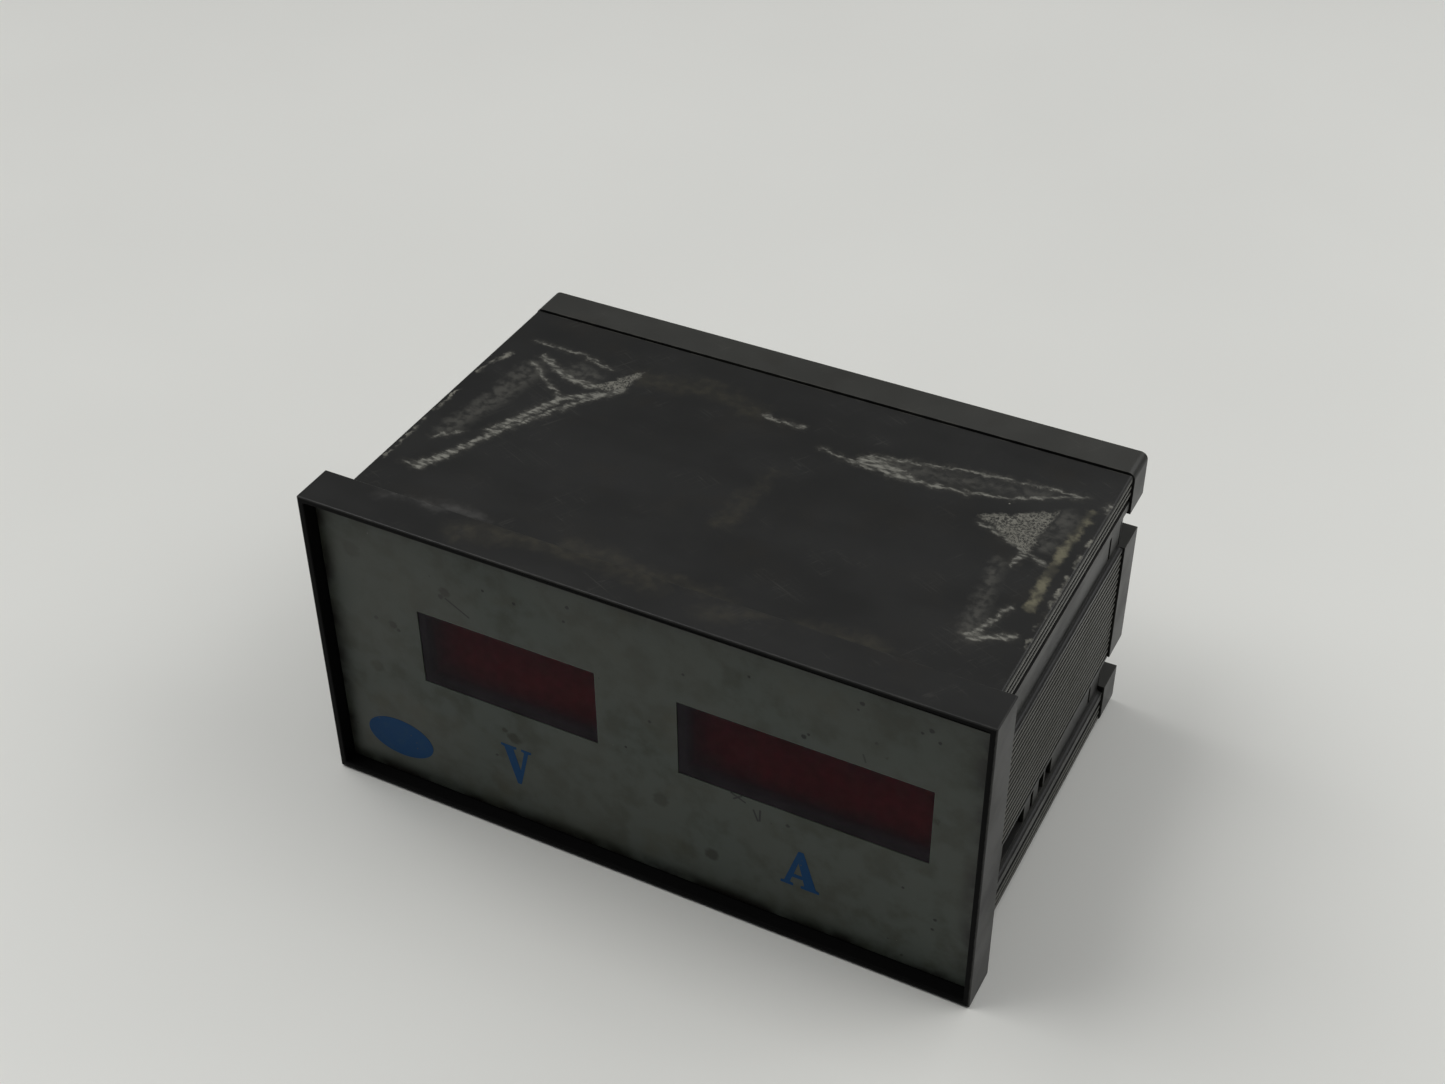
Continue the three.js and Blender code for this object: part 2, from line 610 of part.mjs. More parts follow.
add('bezel_frame', bezelFrame(), 'casePlastic');
add('front_plate', frontPlate(), 'platePrint');
add('window_volts', filterSheet(VOLTS_X, VOLTS_WIDTH), 'redFilter');
add('window_amps', filterSheet(AMPS_X, AMPS_WIDTH), 'redFilter');

add('case_upper', caseUpper(), 'casePlastic');
add('case_lower', caseLower(), 'casePlastic');
add('rear_frame', rearFrame(), 'casePlastic');
add('rear_plate', rearPlate(), 'casePlastic');

add('display_mask', displayMask(), 'maskBlack');
add('display_board', displayBoard(), 'board');
for (const [word, x, count] of [['volts', VOLTS_X, 3], ['amps', AMPS_X, 4]]) {
  for (let index = 0; index < count; index += 1) {
    const place = x + (index - (count - 1) / 2) * DIGIT_PITCH;
    add(`digit_${word}_${index + 1}`, digit(place), 'digitFace');
  }
}

add('main_board', mainBoard(), 'board');
add('pin_header', pinHeader(), 'chipBlack');
add('transformer_core', transformerCore(), 'lamination');
add('transformer_bobbin', transformerBobbin(), 'bobbinWhite');
add('transformer_winding', transformerWinding(), 'copperTape');
add('capacitor_left', capacitor(-25, 64), 'canSleeve');
add('capacitor_right', capacitor(-10, 64), 'canSleeve');
add('heatsink', heatsink(), 'aluminium');
add('regulator', regulator(), 'chipBlack');
add('regulator_screw', regulatorScrew(), 'steel');
add('converter_chip_volts', converterChip(36, 33), 'chipBlack');
add('converter_chip_amps', converterChip(36, 53), 'chipBlack');
add('current_shunt', currentShunt(), 'brass');

TRIMMER_XS.forEach((x, index) => {
  add(`trimmer_body_${index + 1}`, trimmerBody(x), 'trimmerBlue');
  add(`trimmer_rotor_${index + 1}`, trimmerRotor(x), 'brass');
});

add('terminal_block_input', terminalBlock(TERMINAL_XS.input), 'blockPlastic');
add('terminal_block_supply', terminalBlock(TERMINAL_XS.supply), 'blockPlastic');
[...TERMINAL_XS.supply, ...TERMINAL_XS.input].forEach((x, index) => {
  const headStart = CLAMP_FRONT + CLAMP_THICK + GAP;
  const screw = fastener(x, TERMINAL_Z, 2.8, headStart, 1.8, 1.5, BLOCK_FRONT + 0.2, 1);
  add(`terminal_screw_${index + 1}`, screw, 'steel');
  add(`clamp_plate_${index + 1}`, clampPlate(x), 'steel');
});

[[-1, -1], [1, -1], [-1, 1], [1, 1]].forEach(([side, level], index) => {
  const headStart = TOTAL_DEPTH - 2.8 + GAP;
  const screw = fastener(side * PORT_X, level * PORT_Z, 2.7, headStart, 2, 1.2, 70, 2);
  add(`rear_screw_${index + 1}`, screw, 'steel');
});

export default meter;
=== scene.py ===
import math

import bmesh
import bpy
from mathutils import Matrix, Vector


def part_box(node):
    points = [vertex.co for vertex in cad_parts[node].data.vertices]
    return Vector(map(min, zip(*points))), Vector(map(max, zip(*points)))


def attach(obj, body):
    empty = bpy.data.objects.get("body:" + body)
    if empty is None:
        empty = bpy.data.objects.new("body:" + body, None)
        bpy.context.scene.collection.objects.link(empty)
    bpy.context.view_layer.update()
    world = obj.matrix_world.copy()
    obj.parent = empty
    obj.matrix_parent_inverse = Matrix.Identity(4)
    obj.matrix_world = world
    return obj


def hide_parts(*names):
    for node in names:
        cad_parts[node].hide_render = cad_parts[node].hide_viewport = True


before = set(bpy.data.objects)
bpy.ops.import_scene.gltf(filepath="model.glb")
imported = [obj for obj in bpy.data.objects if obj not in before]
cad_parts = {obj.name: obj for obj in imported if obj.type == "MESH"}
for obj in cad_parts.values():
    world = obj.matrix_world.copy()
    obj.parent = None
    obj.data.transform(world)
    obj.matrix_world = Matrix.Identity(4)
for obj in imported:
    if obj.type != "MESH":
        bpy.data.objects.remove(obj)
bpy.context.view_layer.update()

bl_info = {
    "name": "Twin Window Panel Meter",
    "version": (1, 0, 0),
    "blender": (4, 5, 0),
    "location": "3D View > Sidebar > Panel Meter",
    "description": "Builds a worn panel meter with two red windows round its frame of bodies",
    "category": "Object",
}

# ---- Sizes -----------------------------------------------------------------------------
# Metres, +X to the right seen from the front, +Y from the front to the rear, +Z up.

MM = 0.001
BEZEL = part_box("bezel_frame")
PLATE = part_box("front_plate")
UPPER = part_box("case_upper")
REAR_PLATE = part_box("rear_plate")
RIM_FRONT = BEZEL[0].y
MID_Z = (BEZEL[0].z + BEZEL[1].z) / 2
CASE_HALF_W = UPPER[1].x
CASE_HALF_H = UPPER[1].z - MID_Z
CASE_FRONT, CASE_REAR = UPPER[0].y, UPPER[1].y
TERMINALS = 7
SCREW_HEAD_TILT = (8, 52, -20, 75, 33, -41, 12)   # degrees, as a fitter leaves them


def depth(distance):
    """The Y position that lies this many millimetres behind the front rim."""
    return RIM_FRONT + distance * MM


def linear(code):
    """The linear colour of an sRGB hex value."""
    parts = [int(code[i:i + 2], 16) / 255 for i in (1, 3, 5)]
    return tuple(c / 12.92 if c <= 0.04045 else ((c + 0.055) / 1.055) ** 2.4 for c in parts) + (1.0,)


def length(name, description, size):
    """A size in millimetres, as a setting."""
    return bpy.props.FloatProperty(
        name=name, description=description, default=size * MM, min=0.0, precision=5, unit="LENGTH")


def colour(name, description, code):
    """A colour as a setting, from its sRGB hex value."""
    return bpy.props.FloatVectorProperty(
        name=name, description=description, default=linear(code), size=4, min=0.0, max=1.0,
        subtype="COLOR")


class MeterSizes(bpy.types.PropertyGroup):
    edge_round: length("Edge round", "Radius of the moulded outer edges", 0.28)
    rib_pitch: length("Rib pitch", "Distance from one rib of the side walls to the next", 1.58)
    rib_width: length("Rib width", "Width of one rib", 0.76)
    rib_height: length("Rib height", "Height of the ribs above the bottom of the grooves", 0.7)
    middle_ribs: bpy.props.IntProperty(
        name="Middle ribs", description="Ribs between the two clamp channels", default=17, min=0)
    edge_ribs: bpy.props.IntProperty(
        name="Edge ribs", description="Ribs between a channel and the edge", default=3, min=0)
    ink: length("Ink", "Thickness of the printed marks", 0.04)
    slot_width: length("Slot width", "Width of one air slot in the rear plate", 2.0)
    slot_height: length("Slot height", "Height of the air slots", 16.0)
    slot_pitch: length("Slot pitch", "Distance from one air slot to the next", 5.5)
    air_slots: bpy.props.IntProperty(
        name="Air slots", description="Number of air slots", default=17, min=1)
    screw_head: length("Screw head", "Radius of the terminal screws' heads", 2.8)
    digit_pitch: length("Digit pitch", "Distance from one digit to the next", 12.8)


class MeterFinishes(bpy.types.PropertyGroup):
    case: colour("Case", "Black moulded plastic of the case", "#121212")
    plate: colour("Plate", "Grey-green lacquer of the front plate", "#3d423a")
    ink: colour("Ink", "Blue ink of the printed marks", "#0a3c66")
    filter: colour("Filter", "Red acrylic of the windows", "#bf2676")
    floor: colour("Floor", "Pale laminate under the meter", "#ebebe6")


# ---- Meshes ----------------------------------------------------------------------------

def made_mesh(name, bm):
    bmesh.ops.recalc_face_normals(bm, faces=bm.faces)
    mesh = bpy.data.meshes.new(name)
    bm.to_mesh(mesh)
    bm.free()
    return mesh


def boxes(name, spans):
    """A mesh of boxes, each from its lowest to its highest corner."""
    bm = bmesh.new()
    for low, high in spans:
        low, high = Vector(low), Vector(high)
        size = Matrix.Diagonal((*(high - low), 1))
        bmesh.ops.create_cube(bm, size=1, matrix=Matrix.Translation((low + high) / 2) @ size)
    return made_mesh(name, bm)


def prism(name, outline, front, back):
    """An outline in X and Z, extruded from one Y position to another."""
    bm = bmesh.new()
    face = bm.faces.new([bm.verts.new((x, front, z)) for x, z in outline])
    moved = bmesh.ops.extrude_face_region(bm, geom=[face])["geom"]
    verts = [v for v in moved if isinstance(v, bmesh.types.BMVert)]
    bmesh.ops.translate(bm, verts=verts, vec=(0, back - front, 0))
    return made_mesh(name, bm)


def lathed(name, profile, sides=48):
    """A profile of (radius, Y) pairs from axis to axis, turned round the Y axis."""
    bm = bmesh.new()
    verts = [bm.verts.new((radius, y, 0)) for radius, y in profile]
    edges = [bm.edges.new(pair) for pair in zip(verts, verts[1:])]
    bmesh.ops.spin(bm, geom=verts + edges, cent=(0, 0, 0), axis=(0, 1, 0),
                   angle=math.tau, steps=sides, use_merge=True)
    bmesh.ops.remove_doubles(bm, verts=bm.verts, dist=0.001 * MM)
    return made_mesh(name, bm)


def arc(centre, radius, start, end, steps=6):
    """Points on an arc, from one angle to another in degrees."""
    angles = [math.radians(start + (end - start) * i / steps) for i in range(steps + 1)]
    return [(centre[0] + radius * math.cos(a), centre[1] + radius * math.sin(a)) for a in angles]


def joined(name, meshes):
    bm = bmesh.new()
    for mesh in meshes:
        bm.from_mesh(mesh)
    return made_mesh(name, bm)


def shown(mesh):
    """A mesh as an object in the scene."""
    made = bpy.data.objects.new(mesh.name, mesh)
    bpy.context.scene.collection.objects.link(made)
    return made


def evaluated(holder):
    """The mesh that an object's modifiers make. The object is removed."""
    graph = bpy.context.evaluated_depsgraph_get()
    mesh = bpy.data.meshes.new_from_object(holder.evaluated_get(graph))
    bpy.data.objects.remove(holder)
    return mesh


def carved(mesh, tool):
    """A mesh with another cut out of it."""
    holder, cutter = shown(mesh), shown(tool)
    cut = holder.modifiers.new("Cut", "BOOLEAN")
    cut.operation = "DIFFERENCE"
    cut.solver = "EXACT"
    cut.object = cutter
    made = evaluated(holder)
    bpy.data.objects.remove(cutter)
    return made


def rounded(mesh, width, segments=3, angle=32):
    """A mesh with its sharp edges rounded and its flat faces shaded flat."""
    mesh.shade_smooth()
    holder = shown(mesh)
    bevel = holder.modifiers.new("Round", "BEVEL")
    bevel.width = width
    bevel.segments = segments
    bevel.limit_method = "ANGLE"
    bevel.angle_limit = math.radians(angle)
    bevel.miter_outer = "MITER_ARC"
    weights = holder.modifiers.new("Flat faces", "WEIGHTED_NORMAL")
    weights.weight = 100
    return evaluated(holder)


def merged_copy(node_name):
    """A CAD node's mesh as whole flat faces."""
    bm = bmesh.new()
    bm.from_mesh(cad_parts[node_name].data)
    bmesh.ops.remove_doubles(bm, verts=bm.verts, dist=0.002 * MM)
    bmesh.ops.dissolve_limit(
        bm, angle_limit=math.radians(0.5), verts=bm.verts, edges=bm.edges)
    return made_mesh(node_name, bm)


def piece(name, mesh, body, material, replaces=()):
    """A finished piece on its body. Its place is in its mesh."""
    mesh.materials.clear()
    mesh.materials.append(material)
    made = shown(mesh)
    made.name = name
    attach(made, body)
    if replaces:
        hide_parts(*replaces)
    return made


def paint(node_names, material):
    """Gives CAD nodes that stay a finished material."""
    for name in node_names:
        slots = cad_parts[name].material_slots
        for each in slots:
            each.material = material


# ---- Nodes -----------------------------------------------------------------------------

def node(tree, kind, inputs=None, output=0, **settings):
    """Adds a node. An input takes a value or another node's output, and one output comes back."""
    made = tree.nodes.new(kind)
    for key, value in settings.items():
        setattr(made, key, value)
    for key, value in (inputs or {}).items():
        if isinstance(value, bpy.types.NodeSocket):
            tree.links.new(value, made.inputs[key])
        else:
            made.inputs[key].default_value = value
    return made.outputs[output] if made.outputs else None


def geometry_tree(name, sockets):
    """A new geometry tree with named inputs, and the outputs of its input node."""
    tree = bpy.data.node_groups.new(name, "GeometryNodeTree")
    for label, kind in [("Geometry", "NodeSocketGeometry"), *sockets]:
        tree.interface.new_socket(name=label, in_out="INPUT", socket_type=kind)
    tree.interface.new_socket(name="Geometry", in_out="OUTPUT", socket_type="NodeSocketGeometry")
    return tree, tree.nodes.new("NodeGroupInput").outputs


def finish_tree(tree, instances, material):
    """Ends a geometry tree with plain geometry in its finish."""
    real = node(tree, "GeometryNodeRealizeInstances", {"Geometry": instances})
    painted = node(tree, "GeometryNodeSetMaterial", {"Geometry": real, "Material": material})
    node(tree, "NodeGroupOutput", {"Geometry": painted})
    return tree


def row_tree():
    """Bars of one size, set out in a straight row."""
    tree, given = geometry_tree("Row of bars", [
        ("Size", "NodeSocketVector"), ("Start", "NodeSocketVector"),
        ("Step", "NodeSocketVector"), ("Count", "NodeSocketInt"), ("Finish", "NodeSocketMaterial")])
    bar = node(tree, "GeometryNodeMeshCube", {"Size": given["Size"]}, "Mesh")
    line = node(tree, "GeometryNodeMeshLine", {
        "Count": given["Count"], "Start Location": given["Start"], "Offset": given["Step"]}, "Mesh")
    bars = node(tree, "GeometryNodeInstanceOnPoints", {"Points": line, "Instance": bar})
    return finish_tree(tree, bars, given["Finish"])


def copies_tree():
    """A shape, copied to each point of the mesh."""
    tree, given = geometry_tree("Copies at points", [
        ("Shape", "NodeSocketObject"), ("Finish", "NodeSocketMaterial")])
    shape = node(tree, "GeometryNodeObjectInfo", {"Object": given["Shape"]}, "Geometry")
    copies = node(tree, "GeometryNodeInstanceOnPoints", {
        "Points": given["Geometry"], "Instance": shape})
    return finish_tree(tree, copies, given["Finish"])


def grown(name, points, tree, values):
    """The plain mesh that a geometry tree makes from some points and its inputs' values."""
    seed = bpy.data.meshes.new(name)
    seed.from_pydata(points, [], [])
    holder = shown(seed)
    grow = holder.modifiers.new("Grow", "NODES")
    grow.node_group = tree
    for item in tree.interface.items_tree:
        if item.in_out == "INPUT" and item.name in values:
            grow[item.identifier] = values[item.name]
    return evaluated(holder)


def row(name, size, start, step, count, material):
    """Bars in a row, each of one size; start is the middle of the first."""
    tree = bpy.data.node_groups.get("Row of bars") or row_tree()
    return grown(name, [(0, 0, 0)], tree, {
        "Size": size, "Start": start, "Step": step, "Count": count, "Finish": material})


def copies(name, shape, points, material):
    """A shape at each of some points, as one mesh."""
    tree = bpy.data.node_groups.get("Copies at points") or copies_tree()
    model = shown(shape)
    made = grown(name, points, tree, {"Shape": model, "Finish": material})
    bpy.data.objects.remove(model)
    return made


# ---- Patterns --------------------------------------------------------------------------
# Places and sizes in materials are in millimetres.

COLOUR = {"output": 2, "data_type": "RGBA"}       # a Mix node for colours: 0 share, 6 first, 7 second
SMOOTH = {"interpolation_type": "SMOOTHSTEP"}


def patches(tree, place, size, low, high, detail=3.0, stretch=(1, 1, 1)):
    """A mask of soft patches about size across, from 0 where the noise is low to 1 where high."""
    scale = tuple(along / size for along in stretch)
    scaled = node(tree, "ShaderNodeVectorMath", {0: place, 1: scale}, operation="MULTIPLY")
    noise = node(tree, "ShaderNodeTexNoise", {"Vector": scaled, "Scale": 1.0, "Detail": detail})
    return node(tree, "ShaderNodeMapRange", {
        "Value": noise, "From Min": low, "From Max": high}, **SMOOTH)


def specks(tree, place, pitch, radius, share):
    """A mask of small specks, in a share of the cells of a random pattern."""
    cells = node(tree, "ShaderNodeTexVoronoi", {"Vector": place, "Scale": 1 / pitch}, "Distance")
    colours = cells.node.outputs["Color"]
    red = node(tree, "ShaderNodeSeparateColor", {"Color": colours}, "Red")
    chosen = node(tree, "ShaderNodeMath", {0: red, 1: share}, operation="LESS_THAN")
    near = node(tree, "ShaderNodeMapRange", {
        "Value": cells, "From Min": radius / pitch, "From Max": 0.5 * radius / pitch}, **SMOOTH)
    return node(tree, "ShaderNodeMath", {0: near, 1: chosen}, operation="MULTIPLY")


def scratches(tree, place, angle, spacing, run, width=0.012):
    """A mask of fine lines at an angle in degrees about Z, each about run long."""
    turned = node(tree, "ShaderNodeVectorRotate", {
        "Vector": place, "Angle": math.radians(angle)}, rotation_type="Z_AXIS")
    scale = (1 / run, 1 / spacing, 1 / spacing)
    scaled = node(tree, "ShaderNodeVectorMath", {0: turned, 1: scale}, operation="MULTIPLY")
    noise = node(tree, "ShaderNodeTexNoise", {"Vector": scaled, "Scale": 1.0, "Detail": 1.0})
    off = node(tree, "ShaderNodeMath", {0: noise, 1: 0.5}, operation="SUBTRACT")
    size = node(tree, "ShaderNodeMath", {0: off}, operation="ABSOLUTE")
    lines = node(tree, "ShaderNodeMapRange", {"Value": size, "From Min": width, "From Max": 0.0})
    some = patches(tree, place, 9, 0.52, 0.66, 2.0)
    return node(tree, "ShaderNodeMath", {0: lines, 1: some}, operation="MULTIPLY")


def worn_edges(tree, reach):
    """A mask of the outward edges of a piece, reach wide."""
    inside = node(tree, "ShaderNodeAmbientOcclusion", {"Distance": reach * MM}, "AO",
                  samples=4, inside=True, only_local=True)
    return node(tree, "ShaderNodeMapRange", {"Value": inside, "From Min": 0.95, "From Max": 0.5})


def fine_bump(tree, place, grain, height):
    """A normal for the grain of a moulded or brushed surface; grain and height in millimetres."""
    noise = node(tree, "ShaderNodeTexNoise", {"Vector": place, "Scale": 1 / grain, "Detail": 3.0})
    return node(tree, "ShaderNodeBump", {
        "Height": noise, "Distance": height * MM, "Strength": 1.0})


def finish(name, build):
    """The material of this name, built once by a function of its tree and the place in it."""
    if name in bpy.data.materials:
        return bpy.data.materials[name]
    made = bpy.data.materials.new(name)
    made.use_nodes = True
    tree = made.node_tree
    tree.nodes.clear()
    place = node(tree, "ShaderNodeTexCoord", output="Object")
    place = node(tree, "ShaderNodeVectorMath", {0: place, "Scale": 1 / MM}, operation="SCALE")
    node(tree, "ShaderNodeOutputMaterial", {"Surface": build(tree, place)})
    return made


# Label residue on the cover, as strokes of (X, millimetres behind the rim) and half widths:
# first the thick pale crust, then crust that has broken into beads, wedges of crackled glue,
# the yellowed glue and its thin grey film.
CRUST = (
    ((-5.9, 69.1), (-2, 68.7), (3.1, 68.4), 0.15, 0.5),
    ((9.7, 63.5), (18.5, 62.3), (30, 61.9), 0.3, 0.6),
    ((30, 61.9), (41, 62.9), (50, 65.4), (62, 71.8), 0.45, 0.2),
    ((19.5, 64.2), (24, 64.0), (30, 62.6), 1.6, 0.6),
    ((19.8, 66), (28.3, 67.7), (42.5, 70.3), (62.5, 71.9), 0.45, 0.2),
    ((46.9, 55.3), (57.6, 51.3), (62.7, 48.4), 0.25, 0.2),
    ((57.7, 49.7), (56.9, 46), 0.6, 0.2),
    ((57.3, 23.5), (61.4, 25.2), (64.5, 26.8), 0.8, 0.6),
    ((57.5, 24), (59.5, 29), (61.1, 34.3), 0.5, 0.4),
    ((67.5, 71.4), (67.6, 69.3), 0.5, 0.4),
    ((-63.3, 22.4), (-59.3, 22.6), 0.2, 0.4),
    ((-59.3, 22.6), (-56, 28.9), (-51.3, 40.1), 1.1, 0.7),
    ((-51.3, 40.1), (-46.1, 49.2), (-41.3, 57.2), (-36.2, 63.6), 0.5, 0.7),
    ((-53.1, 39.2), (-49.1, 48.2), (-45.7, 55.5), (-40.1, 60.3), 0.7, 0.7),
    ((-62.3, 32.1), (-57.8, 36.3), 0.35, 0.15),
    ((-57.5, 67.5), (-48.8, 62.8), (-41.8, 62.1), 0.6, 0.8),
    ((-57.9, 64), (-50.7, 58.7), (-45.7, 55.5), 0.3, 0.4),
    ((-62.5, 72.1), (-49.7, 71.6), (-42, 69.5), 0.1, 0.35),
)
BROKEN_CRUST = (
    ((68.0, 62.3), (67.6, 50), (67.5, 24.6), 0.4, 0.4),
    ((-67.2, 21.5), (-66.9, 42), (-66.6, 60), 0.2, 0.25),
    ((-66.6, 60), (-64.5, 65.1), 0.4, 0.8),
)
CRUST_WEDGES = (
    ((46.1, 57.4), (58.4, 50.6), (58.9, 65.0)),
    ((-42.6, 61.6), (-36.2, 63.2), (-35.4, 71.6)),
)
CREAM = (((65.0, 67.8), (64.2, 55.4), (64.1, 46), (64.4, 35.5), 0.7, 0.9),)
FILM = (
    ((54.8, 45.7), (56.2, 33.4), (57.1, 23.8), 1.0, 1.9),
    ((61.5, 64), (61.0, 54), 2.2, 1.4),
    ((-61, 36), (-58, 50), (-57, 62), 2.0, 3.0),
    ((24, 64.8), (40, 66.3), (56, 69.5), 1.6, 0.6),
    ((-48, 66), (-44, 65), 2.6, 2.0),
)


def stroke(tree, place, points, start_width, end_width):
    """How far a place lies outside a line of straight stretches that changes its width."""
    nearest = None
    widths = [start_width + (end_width - start_width) * i / (len(points) - 1)
              for i in range(len(points))]
    for begin, end, width0, width1 in zip(points, points[1:], widths, widths[1:]):
        along = Vector((end[0] - begin[0], end[1] - begin[1], 0))
        origin = (begin[0], depth(begin[1]) / MM, 0)
        local = node(tree, "ShaderNodeVectorMath", {0: place, 1: origin}, operation="SUBTRACT")
        share = node(tree, "ShaderNodeVectorMath", {
            0: local, 1: along / along.length_squared}, "Value", operation="DOT_PRODUCT")
        share = node(tree, "ShaderNodeClamp", {"Value": share})
        foot = node(tree, "ShaderNodeVectorMath", {0: along, "Scale": share}, operation="SCALE")
        far = node(tree, "ShaderNodeVectorMath", {0: local, 1: foot}, "Value", operation="DISTANCE")
        width = node(tree, "ShaderNodeMath", {
            0: share, 1: width1 - width0, 2: width0}, operation="MULTIPLY_ADD")
        outside = node(tree, "ShaderNodeMath", {0: far, 1: width}, operation="SUBTRACT")
        nearest = outside if nearest is None else node(
            tree, "ShaderNodeMath", {0: nearest, 1: outside}, operation="MINIMUM")
    return nearest


def wedge(tree, place, corners):
    """How far a place lies outside a three-sided area, whose corners go round anticlockwise."""
    farthest = None
    corners = [Vector((x, depth(behind) / MM, 0)) for x, behind in corners]
    for begin, end in zip(corners, corners[1:] + corners[:1]):
        outward = Vector((end.y - begin.y, begin.x - end.x, 0)).normalized()
        local = node(tree, "ShaderNodeVectorMath", {0: place, 1: begin}, operation="SUBTRACT")
        outside = node(tree, "ShaderNodeVectorMath", {0: local, 1: outward}, "Value",
                       operation="DOT_PRODUCT")
        farthest = outside if farthest is None else node(
            tree, "ShaderNodeMath", {0: farthest, 1: outside}, operation="MAXIMUM")
    return farthest


def area(tree, place, strokes, wedges=(), soft=0.35):
    """A mask of some strokes and wedges together, with soft borders."""
    parts = [stroke(tree, place, points, start, end) for *points, start, end in strokes]
    parts += [wedge(tree, place, corners) for corners in wedges]
    nearest = parts[0]
    for part in parts[1:]:
        nearest = node(tree, "ShaderNodeMath", {0: nearest, 1: part}, operation="MINIMUM")
    return node(tree, "ShaderNodeMapRange", {
        "Value": nearest, "From Min": soft, "From Max": -soft}, **SMOOTH)


RESIDUE_SKIN = 0.15               # the residue reaches this far below the cover's face


def label_residue(tree, place, base, rough):
    """Dried glue and paper left where labels were pulled off the cover."""
    flat = node(tree, "ShaderNodeVectorMath", {0: place, 1: (1, 1, 0)}, operation="MULTIPLY")
    torn = ragged(tree, ragged(tree, flat, 2.0, 1.5), 0.4, 0.6)
    net = web(tree, ragged(tree, flat, 0.5, 0.9), 0.8, 0.16)
    fibres = patches(tree, flat, 1.2, 0.4, 0.64, 12.0, (0.5, 1.4, 1))
    grains = patches(tree, flat, 2.0, 0.36, 0.62, 12.0)
    clots = patches(tree, flat, 5, 0.44, 0.6, 6.0)
    top = node(tree, "ShaderNodeSeparateXYZ", {"Vector": place}, "Z")
    top = node(tree, "ShaderNodeMath", {
        0: top, 1: (MID_Z + CASE_HALF_H) / MM - RESIDUE_SKIN}, operation="GREATER_THAN")
    film = area(tree, torn, FILM, soft=1.8)
    cream = area(tree, torn, CREAM, soft=0.7)
    crackle = area(tree, torn, (), CRUST_WEDGES, soft=0.6)
    halo = area(tree, torn, CRUST, soft=1.7)
    crust = area(tree, torn, CRUST, soft=0.5)
    beads = area(tree, torn, BROKEN_CRUST, soft=0.35)
    beads = node(tree, "ShaderNodeMath", {0: beads, 1: clots}, operation="MULTIPLY")
    for mask, break_up, least, code, strength in (
            (film, grains, 0.15, "#4a4944", 0.75), (halo, fibres, 0.3, "#4e4c45", 0.7),
            (cream, clots, 0.2, "#75715d", 0.75), (crackle, grains, 0.3, "#4c4b46", 0.75),
            (crackle, net, 0.0, "#858379", 0.6), (crust, fibres, 0.15, "#83827a", 0.85),
            (beads, grains, 0.1, "#8f8d82", 0.8)):
        broken = node(tree, "ShaderNodeMapRange", {"Value": break_up, "To Min": least})
        share = node(tree, "ShaderNodeMath", {0: mask, 1: broken}, operation="MULTIPLY")
        share = node(tree, "ShaderNodeMath", {0: share, 1: top}, operation="MULTIPLY")
        share = node(tree, "ShaderNodeMath", {0: share, 1: strength}, operation="MULTIPLY")
        base = node(tree, "ShaderNodeMix", {0: share, 6: base, 7: linear(code)}, **COLOUR)
        rough = node(tree, "ShaderNodeMath", {0: share, 1: 0.2, 2: rough}, operation="MULTIPLY_ADD")
    return base, rough


def ragged(tree, place, size, push):
    """The place, pushed aside by noise of some size, so that a border drawn with it is torn."""
    noise = node(tree, "ShaderNodeTexNoise", {
        "Vector": place, "Scale": 1 / size, "Detail": 3.0}, "Color")
    noise = node(tree, "ShaderNodeVectorMath", {0: noise, 1: (0.5, 0.5, 0.5)}, operation="SUBTRACT")
    noise = node(tree, "ShaderNodeVectorMath", {
        0: noise, 1: (2 * push, 2 * push, 0)}, operation="MULTIPLY")
    return node(tree, "ShaderNodeVectorMath", {0: place, 1: noise}, operation="ADD")


def web(tree, place, pitch, width):
    """A mask of fine threads between cells of about the pitch."""
    cells = node(tree, "ShaderNodeTexVoronoi", {"Vector": place, "Scale": 1 / pitch}, "Distance",
                 feature="DISTANCE_TO_EDGE")
    return node(tree, "ShaderNodeMapRange", {
        "Value": cells, "From Min": width, "From Max": 0.3 * width}, **SMOOTH)


# ---- Materials -------------------------------------------------------------------------

